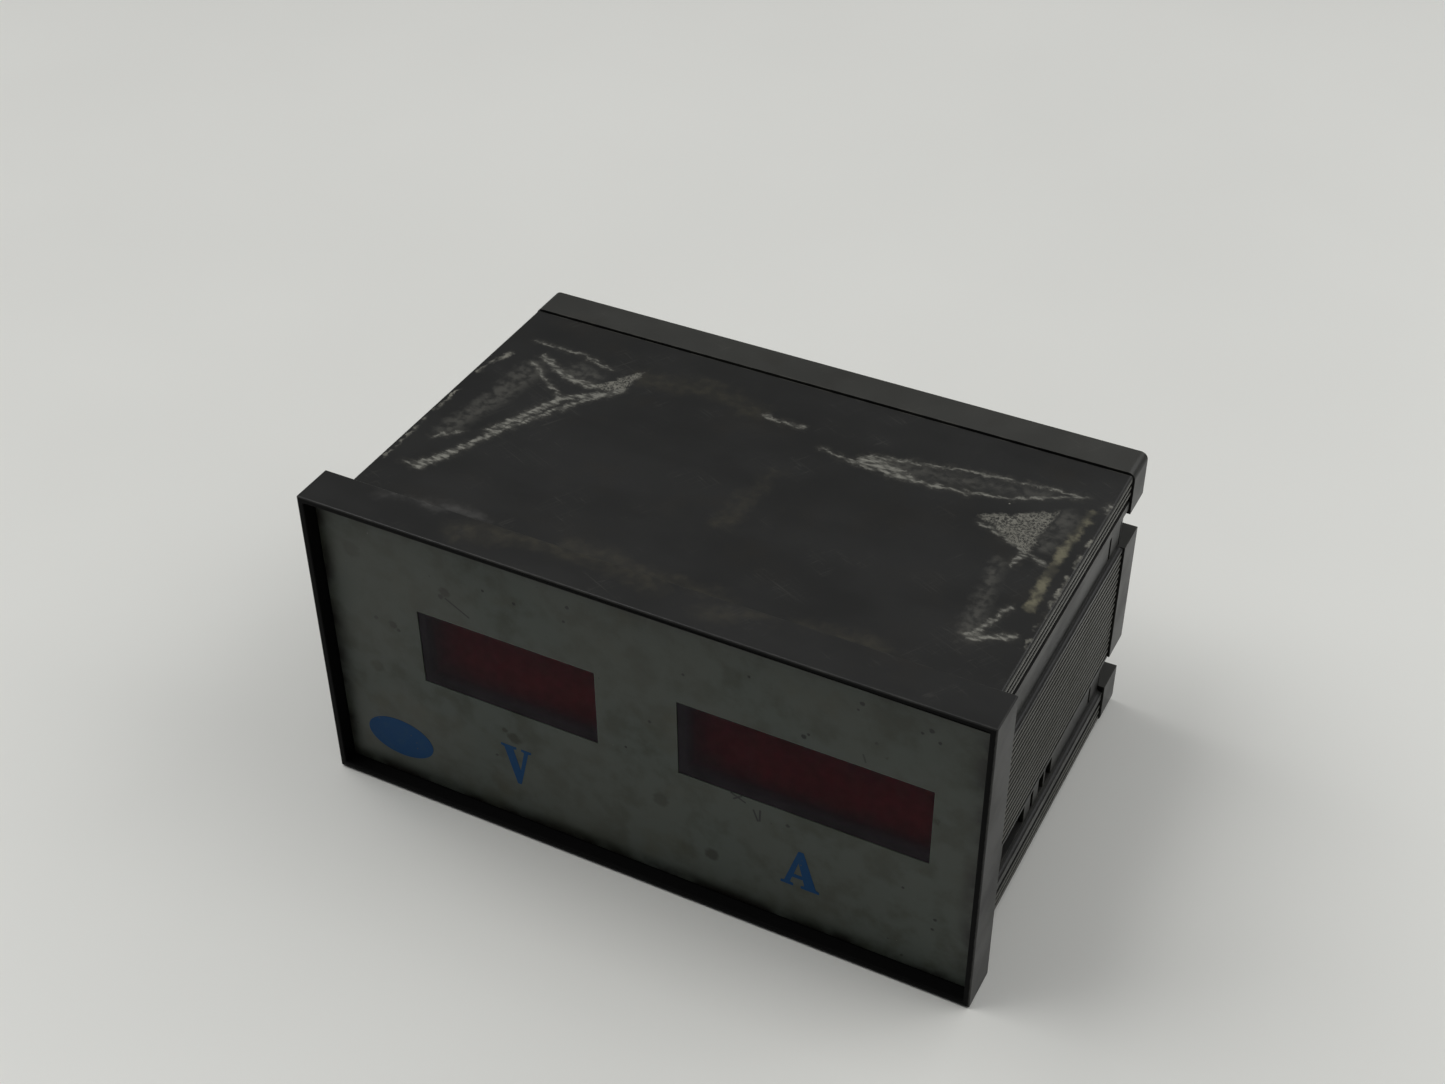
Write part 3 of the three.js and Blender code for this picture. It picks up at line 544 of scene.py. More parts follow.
def moulded_abs(part):
    """ABS from a spark-eroded mould: fine dull grain, rubbed paler along the edges, with brown
    dust on what points up, pale specks and hairline scratches from years in a switchboard. On the
    ribs the outer faces are painted paler, partly as wear and partly as painted highlight, and their
    flanks near-black as painted shade; on the front frame the rim's front and inner faces get a
    near-black painted shade."""
    def build(tree, place):
        base = bpy.context.scene.meter_finishes.case[:]
        haze = patches(tree, place, 34, 0.38, 0.66, 4.0)
        base = node(tree, "ShaderNodeMix", {0: haze, 6: base, 7: linear("#21211e")}, **COLOUR)
        up = node(tree, "ShaderNodeNewGeometry", output="Normal")
        up = node(tree, "ShaderNodeVectorMath", {0: up, 1: (0, 0, 1)}, "Value",
                  operation="DOT_PRODUCT")
        up = node(tree, "ShaderNodeMapRange", {"Value": up, "From Min": 0.3, "From Max": 0.9})
        settled = patches(tree, place, 18, 0.3, 0.7, 8.0)
        settled = node(tree, "ShaderNodeMapRange", {"Value": settled, "To Min": 0.82})
        settled = node(tree, "ShaderNodeMath", {0: settled, 1: up}, operation="MULTIPLY")
        base = node(tree, "ShaderNodeMix", {0: settled, 6: base, 7: linear(
            "#3b3b38" if part == "frame" else "#262625")}, **COLOUR)
        dust = patches(tree, place, 13, 0.52, 0.74, 8.0)
        grime = node(tree, "ShaderNodeMath", {0: dust, 1: 0.3}, operation="MULTIPLY")
        base = node(tree, "ShaderNodeMix", {0: grime, 6: base, 7: linear("#2b2823")}, **COLOUR)
        # On the ribs the outer faces are painted paler: partly rubbed wear, partly painted highlight where
        # they face the light.
        if part == "ribs":
            edge = rib_crests(tree, place)
        else:
            edge = worn_edges(tree, 0.4)
        rubbed = patches(tree, place, 4, 0.4, 0.62, 5.0)
        if part != "ribs":
            edge = node(tree, "ShaderNodeMath", {0: edge, 1: rubbed}, operation="MULTIPLY")
        edge = node(tree, "ShaderNodeMath", {0: edge, 1: 0.9 if part == "ribs" else 0.45},
                    operation="MULTIPLY")
        base = node(tree, "ShaderNodeMix", {0: edge, 6: base, 7: linear("#5c5b54")}, **COLOUR)
        lines = scratches(tree, place, 24, 0.9, 30)
        more = scratches(tree, place, -58, 0.8, 22)
        lines = node(tree, "ShaderNodeMath", {0: lines, 1: more}, operation="MAXIMUM")
        lines = node(tree, "ShaderNodeMath", {0: lines, 1: 0.18}, operation="MULTIPLY")
        base = node(tree, "ShaderNodeMix", {0: lines, 6: base, 7: linear("#5c5b56")}, **COLOUR)
        pale = specks(tree, place, 7, 0.3, 0.2)
        base = node(tree, "ShaderNodeMix", {0: pale, 6: base, 7: linear("#7b7971")}, **COLOUR)
        smear = patches(tree, place, 16, 0.36, 0.66, 6.0, (0.6, 1.0, 1.4))
        rough = node(tree, "ShaderNodeMapRange", {
            "Value": smear, "To Min": 0.36, "To Max": 0.46})
        base, rough = smudges(tree, place, base, rough)
        # Painted shade: the flanks of the ribs, down in the grooves, are painted near-black.
        if part == "ribs":
            base = node(tree, "ShaderNodeMix", {
                0: rib_crests(tree, place), 6: linear("#060606"), 7: base}, **COLOUR)
        if part == "cover":
            base, rough = label_residue(tree, place, base, rough)
        # The grain is really about 0.05 mm; it is drawn at 0.3 mm so that it shows.
        normal = fine_bump(tree, place, 0.3, 0.001 if part == "ribs" else 0.005)
        # The specular levels are set under the usual 0.5, to keep the black deep.
        worn = node(tree, "ShaderNodeBsdfPrincipled", {
            "Base Color": base, "Roughness": rough, "IOR": 1.52, "Specular IOR Level": 0.28,
            "Normal": normal})
        if part != "front":
            return worn
        # Painted shade: the rim's front and inner faces get a near-black, barely reflecting finish.
        painted_rim_shade = node(tree, "ShaderNodeBsdfPrincipled", {
            "Base Color": linear("#090909"), "Roughness": 0.6, "IOR": 1.52,
            "Specular IOR Level": 0.06, "Normal": normal})
        return node(tree, "ShaderNodeMixShader", {0: front_recess(tree, place), 1: worn, 2: painted_rim_shade})
    return build


RIM_SHADE_BORDER = (0.4, 0.2)           # the painted shade on the rim stops between these, in from the outer edge
RECESS_END = (6.3, 6.1)           # the painted shade on the inner faces ends between these depths


def front_recess(tree, place):
    """A mask of the rim's front and inner faces, which get a near-black painted shade."""
    place = ragged(tree, place, 1.2, 0.12)
    parts = node(tree, "ShaderNodeSeparateXYZ", {"Vector": place}, "X")
    middle = (BEZEL[0] + BEZEL[1]) / 2 / MM
    reach = (BEZEL[1] - BEZEL[0]) / 2 / MM
    inner, outer = RIM_SHADE_BORDER
    inside = []
    for value, centre, half in ((parts, middle.x, reach.x),
                                (parts.node.outputs["Z"], middle.z, reach.z)):
        away = node(tree, "ShaderNodeMath", {0: value, 1: centre}, operation="SUBTRACT")
        away = node(tree, "ShaderNodeMath", {0: away}, operation="ABSOLUTE")
        inside.append(node(tree, "ShaderNodeMapRange", {
            "Value": away, "From Min": half - outer, "From Max": half - inner}))
    none, full = (depth(end) / MM for end in RECESS_END)
    near = node(tree, "ShaderNodeMapRange", {
        "Value": parts.node.outputs["Y"], "From Min": none, "From Max": full})
    mask = node(tree, "ShaderNodeMath", {0: inside[0], 1: inside[1]}, operation="MULTIPLY")
    return node(tree, "ShaderNodeMath", {0: mask, 1: near}, operation="MULTIPLY")


def rib_crests(tree, place):
    """A mask of the outer faces of the ribs, which rub against everything and are also painted paler as
    painted highlight; the rib faces outside it are painted near-black as painted shade.
    """
    across = node(tree, "ShaderNodeSeparateXYZ", {"Vector": place}, "X")
    across = node(tree, "ShaderNodeMath", {0: across}, operation="ABSOLUTE")
    crest = CASE_HALF_W / MM
    return node(tree, "ShaderNodeMapRange", {
        "Value": across, "From Min": crest - 0.2, "From Max": crest - 0.02})


# Smudges of dried dirt on the upper faces, as strokes like the residue's: first the brown
# ones, then a few pale grey ones.
BROWN_SMUDGES = (
    ((-38, 5), (-24, 8), (-8, 10), (3, 7), 2.2, 1.6),
    ((-18, 14), (0, 13), (14, 12), 2.0, 1.4),
    ((14, 5), (24, 8), 1.5, 1.0),
    ((30, 12), (44, 14), 1.2, 2.0),
    ((-34, 70), (-20, 72), (-8, 70), 1.5, 2.0),
    ((5, 52), (4, 42), (3, 33), 0.6, 1.6),
)
PALE_SMUDGES = (
    ((-57, 9), (-51, 11), (-45, 10), 1.6, 1.2),
    ((-47, 13.5), (-38, 14), 0.9, 0.6),
)
SMUDGED_ABOVE = 68.5              # only faces above this height are smudged, in millimetres


def smudges(tree, place, base, rough):
    """Thin smudges of dried dirt with torn borders on faces that point up."""
    flat = node(tree, "ShaderNodeVectorMath", {0: place, 1: (1, 1, 0)}, operation="MULTIPLY")
    torn = ragged(tree, ragged(tree, flat, 6.0, 4.0), 1.5, 1.6)
    fine = patches(tree, place, 2.2, 0.34, 0.7, 12.0)
    high = node(tree, "ShaderNodeSeparateXYZ", {"Vector": place}, "Z")
    high = node(tree, "ShaderNodeMath", {0: high, 1: SMUDGED_ABOVE},
                operation="GREATER_THAN")
    for strokes, least, code, strength in ((BROWN_SMUDGES, 0.35, "#3b382e", 0.6),
                                           (PALE_SMUDGES, 0.3, "#504f4d", 0.7)):
        mask = area(tree, torn, strokes, soft=2.6)
        broken = node(tree, "ShaderNodeMapRange", {"Value": fine, "To Min": least})
        for factor in (broken, high, strength):
            mask = node(tree, "ShaderNodeMath", {0: mask, 1: factor}, operation="MULTIPLY")
        base = node(tree, "ShaderNodeMix", {0: mask, 6: base, 7: linear(code)}, **COLOUR)
        rough = node(tree, "ShaderNodeMath", {0: mask, 1: 0.15, 2: rough}, operation="MULTIPLY_ADD")
    return base, rough


def lacquered_sheet(tree, place):
    """Aluminium sheet under matt grey-green lacquer, with a soft orange peel: clouded by wiping,
    with handling stains, black specks, small chips, and dirt settled along the rim together with painted
    shade there."""
    base = bpy.context.scene.meter_finishes.plate[:]
    cloud = patches(tree, place, 22, 0.32, 0.68, 6.0)
    base = node(tree, "ShaderNodeMix", {0: cloud, 6: base, 7: linear("#474d47")}, **COLOUR)
    blotch = patches(tree, place, 5, 0.4, 0.72, 7.0)
    blotch = node(tree, "ShaderNodeMath", {0: blotch, 1: 0.85}, operation="MULTIPLY")
    base = node(tree, "ShaderNodeMix", {0: blotch, 6: base, 7: linear("#34372d")}, **COLOUR)
    stain = patches(tree, place, 14, 0.56, 0.74, 5.0)
    stain = node(tree, "ShaderNodeMath", {0: stain, 1: 0.5}, operation="MULTIPLY")
    base = node(tree, "ShaderNodeMix", {0: stain, 6: base, 7: linear("#3d3b2c")}, **COLOUR)
    # Dirt and painted shade: the plate is darker within 4 mm of the rim, in patches.
    dirt = edge_dirt_and_shade(tree, place)
    base = node(tree, "ShaderNodeMix", {0: dirt, 6: base, 7: linear("#15130f")}, **COLOUR)
    for pitch, radius, share, code in ((4.1, 0.26, 0.14, "#0e0f0d"), (7.0, 0.5, 0.35, "#20221b"),
                                       (15.0, 1.1, 0.4, "#2a2b22"), (6.0, 0.16, 0.3, "#767a72")):
        spots = ragged(tree, place, radius, radius)
        dots = specks(tree, spots, pitch, radius, share)
        dots = node(tree, "ShaderNodeMath", {0: dots, 1: 0.8}, operation="MULTIPLY")
        base = node(tree, "ShaderNodeMix", {0: dots, 6: base, 7: linear(code)}, **COLOUR)
    for x, height, radius, code in FRONT_STAINS:
        spot = ragged(tree, place, radius, 0.7 * radius)
        spot = node(tree, "ShaderNodeVectorMath", {
            0: spot, 1: (x, PLATE[0].y / MM, height)}, "Value", operation="DISTANCE")
        spot = node(tree, "ShaderNodeMapRange", {
            "Value": spot, "From Min": 1.4 * radius, "From Max": 0.7 * radius, "To Max": 0.95}, **SMOOTH)
        base = node(tree, "ShaderNodeMix", {0: spot, 6: base, 7: linear(code)}, **COLOUR)
    for begin, end, code in FRONT_SCRATCHES:
        line = front_line(tree, place, begin, end)
        base = node(tree, "ShaderNodeMix", {0: line, 6: base, 7: linear(code)}, **COLOUR)
    rough = node(tree, "ShaderNodeMapRange", {"Value": cloud, "To Min": 0.34, "To Max": 0.58})
    normal = fine_bump(tree, place, 0.6, 0.01)
    return node(tree, "ShaderNodeBsdfPrincipled", {
        "Base Color": base, "Roughness": rough, "IOR": 1.5, "Specular IOR Level": 0.36,
        "Normal": normal})


# Stains and specks on the plate: x and height in mm, radius, and colour.
FRONT_STAINS = (
    (-41.6, 57.0, 1.1, "#23231a"), (-42.6, 55.6, 0.6, "#1d1d16"), (-59.2, 44.0, 0.5, "#20211b"),
    (-55.2, 43.6, 0.9, "#23231b"), (-54.0, 42.6, 0.4, "#1a1b16"), (-25.7, 60.2, 0.36, "#0c0d0b"),
    (-32.6, 60.8, 0.3, "#121310"), (-13.8, 63.8, 0.4, "#0c0d0b"), (-14.8, 60.0, 0.3, "#121310"),
    (-28.5, 24.0, 1.3, "#282a1f"), (-30.6, 25.4, 0.6, "#282a1f"), (46.2, 64.7, 0.45, "#0c0d0b"),
    (45.4, 63.0, 0.25, "#121310"), (35.1, 52.0, 0.5, "#0c0d0b"), (36.0, 52.9, 0.3, "#0c0d0b"),
    (59.3, 63.8, 0.5, "#0f100d"), (57.6, 62.6, 0.3, "#0f100d"), (61.0, 61.6, 0.35, "#0f100d"),
    (56.0, 22.5, 0.3, "#0c0d0b"), (32.2, 27.6, 0.4, "#191a15"), (62.8, 17.0, 0.35, "#14150f"),
    (62.4, 14.2, 0.3, "#14150f"), (3.0, 42.0, 0.35, "#191a15"), (-2.5, 33.0, 0.3, "#191a15"),
    (24.0, 62.0, 0.3, "#121310"), (10.5, 57.0, 0.3, "#121310"), (-63.0, 60.0, 1.8, "#30332a"),
    (-60.5, 30.5, 1.5, "#33362c"), (5.0, 22.0, 1.6, "#2f3229"), (16.0, 12.0, 1.4, "#2b2d25"),
)
# Scratches and pen strokes on the plate, as (X, height) from and to, in millimetres.
FRONT_SCRATCHES = (
    ((-41.5, 55.5), (-36.5, 52.6), "#0b0c0a"),
    ((20.3, 31.0), (23.2, 29.7), "#08090a"),
    ((20.8, 29.7), (22.4, 31.0), "#08090a"),
    ((25.0, 28.5), (25.9, 26.0), "#08090a"),
    ((26.4, 28.9), (26.3, 26.2), "#08090a"),
    ((46.8, 52.6), (47.3, 51.0), "#23261f"),
)


def front_line(tree, place, begin, end):
    """A mask of a thin straight line on the front plate."""
    along = Vector((end[0] - begin[0], 0, end[1] - begin[1]))
    flat = node(tree, "ShaderNodeVectorMath", {0: place, 1: (1, 0, 1)}, operation="MULTIPLY")
    origin = (begin[0], 0, begin[1])
    local = node(tree, "ShaderNodeVectorMath", {0: flat, 1: origin}, operation="SUBTRACT")
    share = node(tree, "ShaderNodeVectorMath", {
        0: local, 1: along / along.length_squared}, "Value", operation="DOT_PRODUCT")
    share = node(tree, "ShaderNodeClamp", {"Value": share})
    foot = node(tree, "ShaderNodeVectorMath", {0: along, "Scale": share}, operation="SCALE")
    far = node(tree, "ShaderNodeVectorMath", {0: local, 1: foot}, "Value", operation="DISTANCE")
    return node(tree, "ShaderNodeMapRange", {"Value": far, "From Min": 0.27, "From Max": 0.14})


def edge_dirt_and_shade(tree, place):
    """A mask of dirt and painted shade close to the rim round the plate."""
    low, high = PLATE[0] / MM, PLATE[1] / MM
    apart = node(tree, "ShaderNodeSeparateXYZ", {"Vector": place}, "X")
    height = apart.node.outputs["Z"]
    nearest = None
    for value, border in ((apart, low.x), (apart, high.x), (height, low.z), (height, high.z)):
        away = node(tree, "ShaderNodeMath", {0: value, 1: border}, operation="SUBTRACT")
        away = node(tree, "ShaderNodeMath", {0: away}, operation="ABSOLUTE")
        nearest = away if nearest is None else node(
            tree, "ShaderNodeMath", {0: nearest, 1: away}, operation="MINIMUM")
    border = node(tree, "ShaderNodeMapRange", {
        "Value": nearest, "From Min": 4.0, "From Max": 0.0}, **SMOOTH)
    some = patches(tree, place, 7, 0.34, 0.62, 7.0)
    return node(tree, "ShaderNodeMath", {0: border, 1: some}, operation="MULTIPLY")


# Windows: left, right, and their lower and upper edges from mid-height.
WINDOWS = ((-48.85, -8.85, -4.85, 13.45), (8.9, 60.7, -4.85, 13.45))


def red_acrylic(tree, place):
    """Cast acrylic dyed deep red, its face dulled by wiping, with a dark grey painted shade along its
    left and lower borders, where the window's recess lies in shade, and faint dust."""
    tint = bpy.context.scene.meter_finishes.filter[:]
    bloom = patches(tree, place, 5, 0.35, 0.7, 5.0)
    rough = node(tree, "ShaderNodeMapRange", {"Value": bloom, "To Min": 0.3, "To Max": 0.42})
    # The index is set under acrylic's 1.49, which keeps the reflection weak.
    glass = node(tree, "ShaderNodeBsdfPrincipled", {
        "Base Color": tint, "Roughness": rough, "IOR": 1.17, "Transmission Weight": 1.0})
    # Light from the lamps passes straight through, so that the digits behind are lit.
    passing = node(tree, "ShaderNodeBsdfTransparent", {"Color": linear("#ff7c98")})
    shadow = node(tree, "ShaderNodeLightPath", output="Is Shadow Ray")
    clear = node(tree, "ShaderNodeMixShader", {0: shadow, 1: glass, 2: passing})
    # Painted shade: dark grey along the left and lower borders of the windows, with faint dust over the
    # rest.
    settled = node(tree, "ShaderNodeMix", {
        0: bloom, 6: linear("#262127"), 7: linear("#1c181d")}, **COLOUR)
    dust = node(tree, "ShaderNodeBsdfPrincipled", {
        "Base Color": settled, "Roughness": 0.6, "Specular IOR Level": 0.12})
    return node(tree, "ShaderNodeMixShader", {0: window_shade_and_dust(tree, place), 1: clear, 2: dust})


def window_shade_and_dust(tree, place):
    """A mask of painted shade along the left and lower borders of both windows, with faint patches of dust
    all over.
    """
    place = ragged(tree, place, 3.0, 0.5)
    apart = node(tree, "ShaderNodeSeparateXYZ", {"Vector": place}, "X")
    height = apart.node.outputs["Z"]
    masks = []
    for left, _, _, _ in WINDOWS:
        away = node(tree, "ShaderNodeMath", {0: apart, 1: left}, operation="SUBTRACT")
        away = node(tree, "ShaderNodeMath", {0: away}, operation="ABSOLUTE")
        masks.append(node(tree, "ShaderNodeMapRange", {
            "Value": away, "From Min": 4.2, "From Max": 1.2, "To Max": 0.8}, **SMOOTH))
    low = WINDOWS[0][2] + MID_Z / MM
    above = node(tree, "ShaderNodeMath", {0: height, 1: low}, operation="SUBTRACT")
    masks.append(node(tree, "ShaderNodeMapRange", {
        "Value": above, "From Min": 5.2, "From Max": 0.9, "To Max": 0.8}, **SMOOTH))
    masks.append(node(tree, "ShaderNodeMapRange", {
        "Value": patches(tree, place, 2.5, 0.3, 0.7, 7.0), "To Max": 0.1}))
    mask = masks[0]
    for other in masks[1:]:
        mask = node(tree, "ShaderNodeMath", {0: mask, 1: other}, operation="MAXIMUM")
    return mask


def screen_ink(tree, place):
    """Blue screen-printed ink: flat and slightly glossy, thin in places with pinholes."""
    base = bpy.context.scene.meter_finishes.ink[:]
    thin = patches(tree, place, 2.4, 0.5, 0.75, 4.0)
    thin = node(tree, "ShaderNodeMath", {0: thin, 1: 0.5}, operation="MULTIPLY")
    base = node(tree, "ShaderNodeMix", {0: thin, 6: base, 7: linear("#1c4260")}, **COLOUR)
    holes = specks(tree, place, 1.3, 0.2, 0.25)
    base = node(tree, "ShaderNodeMix", {0: holes, 6: base, 7: linear("#484c45")}, **COLOUR)
    normal = fine_bump(tree, place, 0.4, 0.006)
    return node(tree, "ShaderNodeBsdfPrincipled", {
        "Base Color": base, "Roughness": 0.42, "IOR": 1.5, "Specular IOR Level": 0.1,
        "Normal": normal})


def coloured(code, second, size, rough, metallic=0.0, ior=1.5, grain=0.3, height=0.01,
             stretch=(1, 1, 1), coat=0.0):
    """A finish of two close colours in patches, with its own gloss and grain."""
    def build(tree, place):
        mask = patches(tree, place, size, 0.35, 0.65, 4.0, stretch)
        base = node(tree, "ShaderNodeMix", {0: mask, 6: linear(code), 7: linear(second)}, **COLOUR)
        gloss = node(tree, "ShaderNodeMapRange", {
            "Value": mask, "To Min": rough * 0.85, "To Max": rough * 1.15})
        along = node(tree, "ShaderNodeVectorMath", {0: place, 1: stretch}, operation="MULTIPLY")
        return node(tree, "ShaderNodeBsdfPrincipled", {
            "Base Color": base, "Roughness": gloss, "Metallic": metallic, "IOR": ior,
            "Coat Weight": coat, "Normal": fine_bump(tree, along, grain, height)})
    return build


FINISHES = {
    # Black moulded plastic with the case's own grain and wear.
    "case_plastic": ("worn_moulded_abs", moulded_abs("plain")),
    "plate_print": ("matt_lacquered_sheet", lacquered_sheet),
    "red_filter": ("dyed_cast_acrylic", red_acrylic),
    # The front frame's finish holds a near-black painted shade on the rim's front and inner faces.
    "front_plastic": ("worn_moulded_abs_with_black_rim", moulded_abs("front")),
    "frame_plastic": ("worn_moulded_abs_of_the_rear_frame", moulded_abs("frame")),
    # Matt black polystyrene, which swallows stray light round the digits.
    "mask_black": ("matt_black_polystyrene", coloured("#141414", "#1c1c1b", 6, 0.7)),
    # Cast epoxy over the reflectors: milky grey, smooth.
    "digit_face": ("grey_cast_epoxy", coloured("#c9bdbf", "#b8adaf", 4, 0.35)),
    "segment": ("milky_diffuser_epoxy", coloured("#d0c5c5", "#beb4b4", 2, 0.3)),
    # Green solder resist over woven glass; the weave is drawn at 0.8 mm.
    "board_laminate": ("resist_on_glass_laminate", coloured(
        "#1f5a35", "#2a6b41", 9, 0.3, grain=0.8, height=0.02, coat=0.3)),
    "chip_plastic": ("transfer_moulded_epoxy", coloured("#1b1b1d", "#262628", 3, 0.55)),
    # Varnished silicon steel sheets, stacked along Y; each edge shows as a line.
    "core_steel": ("varnished_lamination_stack", coloured(
        "#5c5751", "#37342f", 0.5, 0.45, 0.6, stretch=(0.1, 1, 0.1), height=0.05)),
    "bobbin_plastic": ("natural_nylon", coloured("#d2ccb8", "#c2bba3", 5, 0.5)),
    "winding": ("yellow_polyester_tape", coloured(
        "#b98e2e", "#a67b22", 6, 0.35, stretch=(1, 1, 0.2), coat=0.3)),
    "can_sleeve": ("blue_shrink_sleeve", coloured("#1c3468", "#243f7a", 8, 0.3, coat=0.4)),
    "can_top": ("pressed_aluminium", coloured("#b4b5b5", "#9c9d9d", 3, 0.4, 1.0)),
    # Extruded along Z, so its die lines run upwards.
    "aluminium": ("extruded_aluminium", coloured(
        "#a9abab", "#8f9191", 1.2, 0.38, 1.0, stretch=(1, 1, 0.05), height=0.02)),
    # Zinc plating: bright grey with a dull bloom where it was handled.
    "plated_steel": ("zinc_plated_steel", coloured("#a8a69e", "#87857c", 1.5, 0.36, 1.0)),
    "brass": ("turned_brass", coloured("#b5914c", "#94743a", 1.5, 0.34, 1.0)),
    # Phenolic moulding: hard, slightly glossy, with flow marks.
    "block_plastic": ("phenolic_moulding", coloured("#20262b", "#2c333a", 5, 0.42, coat=0.1)),
    "trimmer_plastic": ("blue_moulded_nylon", coloured("#2456a8", "#1f4b95", 3, 0.4)),
}


def finish_of(slot):
    return finish(*FINISHES[slot])


def polished_laminate(tree, place):
    """Pale laminate of a work table: satin gloss with faint scuffs."""
    base = bpy.context.scene.meter_finishes.floor[:]
    cloud = patches(tree, place, 160, 0.3, 0.7, 3.0)
    shade = node(tree, "ShaderNodeMix", {0: cloud, 6: base, 7: linear("#e8e8e3")}, **COLOUR)
    scuff = patches(tree, place, 60, 0.4, 0.7, 5.0)
    rough = node(tree, "ShaderNodeMapRange", {"Value": scuff, "To Min": 0.36, "To Max": 0.4})
    return node(tree, "ShaderNodeBsdfPrincipled", {
        "Base Color": shade, "Roughness": rough, "IOR": 1.5})


# ---- Shapes ----------------------------------------------------------------------------
# These take millimetres: X from the middle, depths from the front rim, heights from mid-height.

def at(x, behind, height):
    return Vector((x * MM, depth(behind), MID_Z + height * MM))


def block(x0, x1, depth0, depth1, low, high):
    """The two corners of a box."""
    return at(x0, depth0, low), at(x1, depth1, high)


def plate(name, outline, depth0, depth1):
    """An outline of (X, height), extruded from one depth to another."""
    points = [(x * MM, MID_Z + height * MM) for x, height in outline]
    return prism(name, points, depth(depth0), depth(depth1))


def rectangle(x0, x1, low, high, corner=0.0, steps=6):
    """The outline of a rectangle, anticlockwise from its lower left, with round corners."""
    if not corner:
        return [(x0, low), (x1, low), (x1, high), (x0, high)]
    corners = ((x0, low, 180), (x1, low, 270), (x1, high, 0), (x0, high, 90))
    outline = []
    for x, height, start in corners:
        centre = (x + corner if x == x0 else x - corner,
                  height + corner if height == low else height - corner)
        outline += arc(centre, corner, start, start + 90, steps)
    return outline


def placed(mesh, where, turn=0.0, axis="Y"):
    """Turns a mesh made round the origin by some degrees, and puts it in its place."""
    mesh.transform(Matrix.Translation(where) @ Matrix.Rotation(math.radians(turn), 4, axis))
    return mesh


def scaled_points(points):
    return [(a * MM, b * MM) for a, b in points]


EDGE_BAND = (26.59, 32.15)        # heights of the ribbed band next to the cover
MIDDLE_BAND = 13.84               # half the height of the ribbed band between the channels
CHANNEL = (14.65, 24.6)
CHANNEL_DEPTH = 1.1
CHANNEL_FILLET = 0.9
EDGE_ROUND = 0.6
INSIDE = (65.6, 30.9)             # half width and half height inside the case
RAIL_TIP = 64.1                   # guide rails for the boards
RAILS = ((21.7, 22.7), (24.9, 25.9))
PORT_WALL = (60.4, 26.2)
PORTS = (62.9, 28.7)              # screw ports in the four corners
SEAM = 3.95                       # the halves meet here, with a gap of twice SEAM_GAP
SEAM_GAP = 0.15


def wall_outside(sizes, lowest):
    """Outside of the right wall, from its rounded edge down to a height. The bands that carry
    ribs lie below the surface by the height of a rib."""
    edge, half_height = CASE_HALF_W / MM, CASE_HALF_H / MM
    floor = edge - sizes.rib_height / MM
    channel = edge - CHANNEL_DEPTH + CHANNEL_FILLET
    low, high = CHANNEL
    return [
        *arc((edge - EDGE_ROUND, half_height - EDGE_ROUND), EDGE_ROUND, 90, 0),
        (edge, EDGE_BAND[1]), (floor, EDGE_BAND[1]), (floor, EDGE_BAND[0]), (edge, EDGE_BAND[0]),
        (edge, high), *arc((channel, high - CHANNEL_FILLET), CHANNEL_FILLET, 90, 180),
        *arc((channel, low + CHANNEL_FILLET), CHANNEL_FILLET, 180, 270), (edge, low),
        (edge, MIDDLE_BAND), (floor, MIDDLE_BAND), (floor, lowest),
    ]


CASE_SPAN = (6.5, 82.7)           # depths of the case halves
SLIT = (76, 77.2)                 # depths of the narrow slit in both channels
SLIT_HEIGHTS = (15.6, 22.4)
HOOK_SLOTS = ((26, 38), (41.4, 43), (46, 49), (49.8, 53.5))
HOOK_HEIGHTS = (-23.4, -15.6)     # only the lower channels have these openings


def half_shell(sizes):
    """Cover and side walls of the upper half, which stands on the shorter right wall."""
    right_end, left_end = SEAM + SEAM_GAP, SEAM_GAP - SEAM
    inside_x, inside_z = INSIDE
    inner = [(inside_x, right_end)]
    for low, high in RAILS:
        inner += [(inside_x, low), (RAIL_TIP, low), (RAIL_TIP, high), (inside_x, high)]
    inner += [(inside_x, PORT_WALL[1]), PORT_WALL, (PORT_WALL[0], inside_z)]
    mirrored = [(-x, height) for x, height in inner[1:]][::-1]
    left = [(-x, height) for x, height in wall_outside(sizes, left_end)][::-1]
    outline = [*wall_outside(sizes, right_end), *inner, *mirrored, (-inside_x, left_end), *left]
    shell = plate("shell", outline, CASE_SPAN[0], CASE_SPAN[1])
    return carved(shell, joined("ports", [
        round_hole(side * PORTS[0], PORTS[1], CASE_SPAN[0] - 1, CASE_SPAN[1] + 1, 1.5)
        for side in (-1, 1)]))


def round_hole(x, height, depth0, depth1, radius, sides=32):
    profile = scaled_points([(0, 0), (radius, 0), (radius, depth1 - depth0), (0, depth1 - depth0)])
    return placed(lathed("hole", profile, sides), at(x, depth0, height))


def wall_slots(low, high, spans):
    """Boxes through both side walls, to cut slots with."""
    spans = [block(side * 63 - 6, side * 63 + 6, start, end, low, high)
             for side in (-1.06, 1.06) for start, end in spans]
    return boxes("slots", spans)


# ---- Pieces ----------------------------------------------------------------------------

class FrontFrame(bpy.types.Operator):
    """Makes the front frame that snaps on to the case"""
    bl_idname = "panel_meter.front_frame"
    bl_label = "Front frame"

    def execute(self, context):
        mesh = rounded(merged_copy("bezel_frame"), context.scene.meter_sizes.edge_round)
        piece("front_frame", mesh, "front", finish_of("front_plastic"),
              ["bezel_frame"])
        return {"FINISHED"}


PANE_STEP = (3.15, 4.201)         # depths of the step that fills the opening in the plate
PANE_GAP = 0.05                   # between that step and the opening's edge
SHEET_TRIM = (4.0, 4.2)           # depths taken off the front of the sheet behind the plate
TRIM_REACH = 9                    # past the window, so that the whole sheet is trimmed


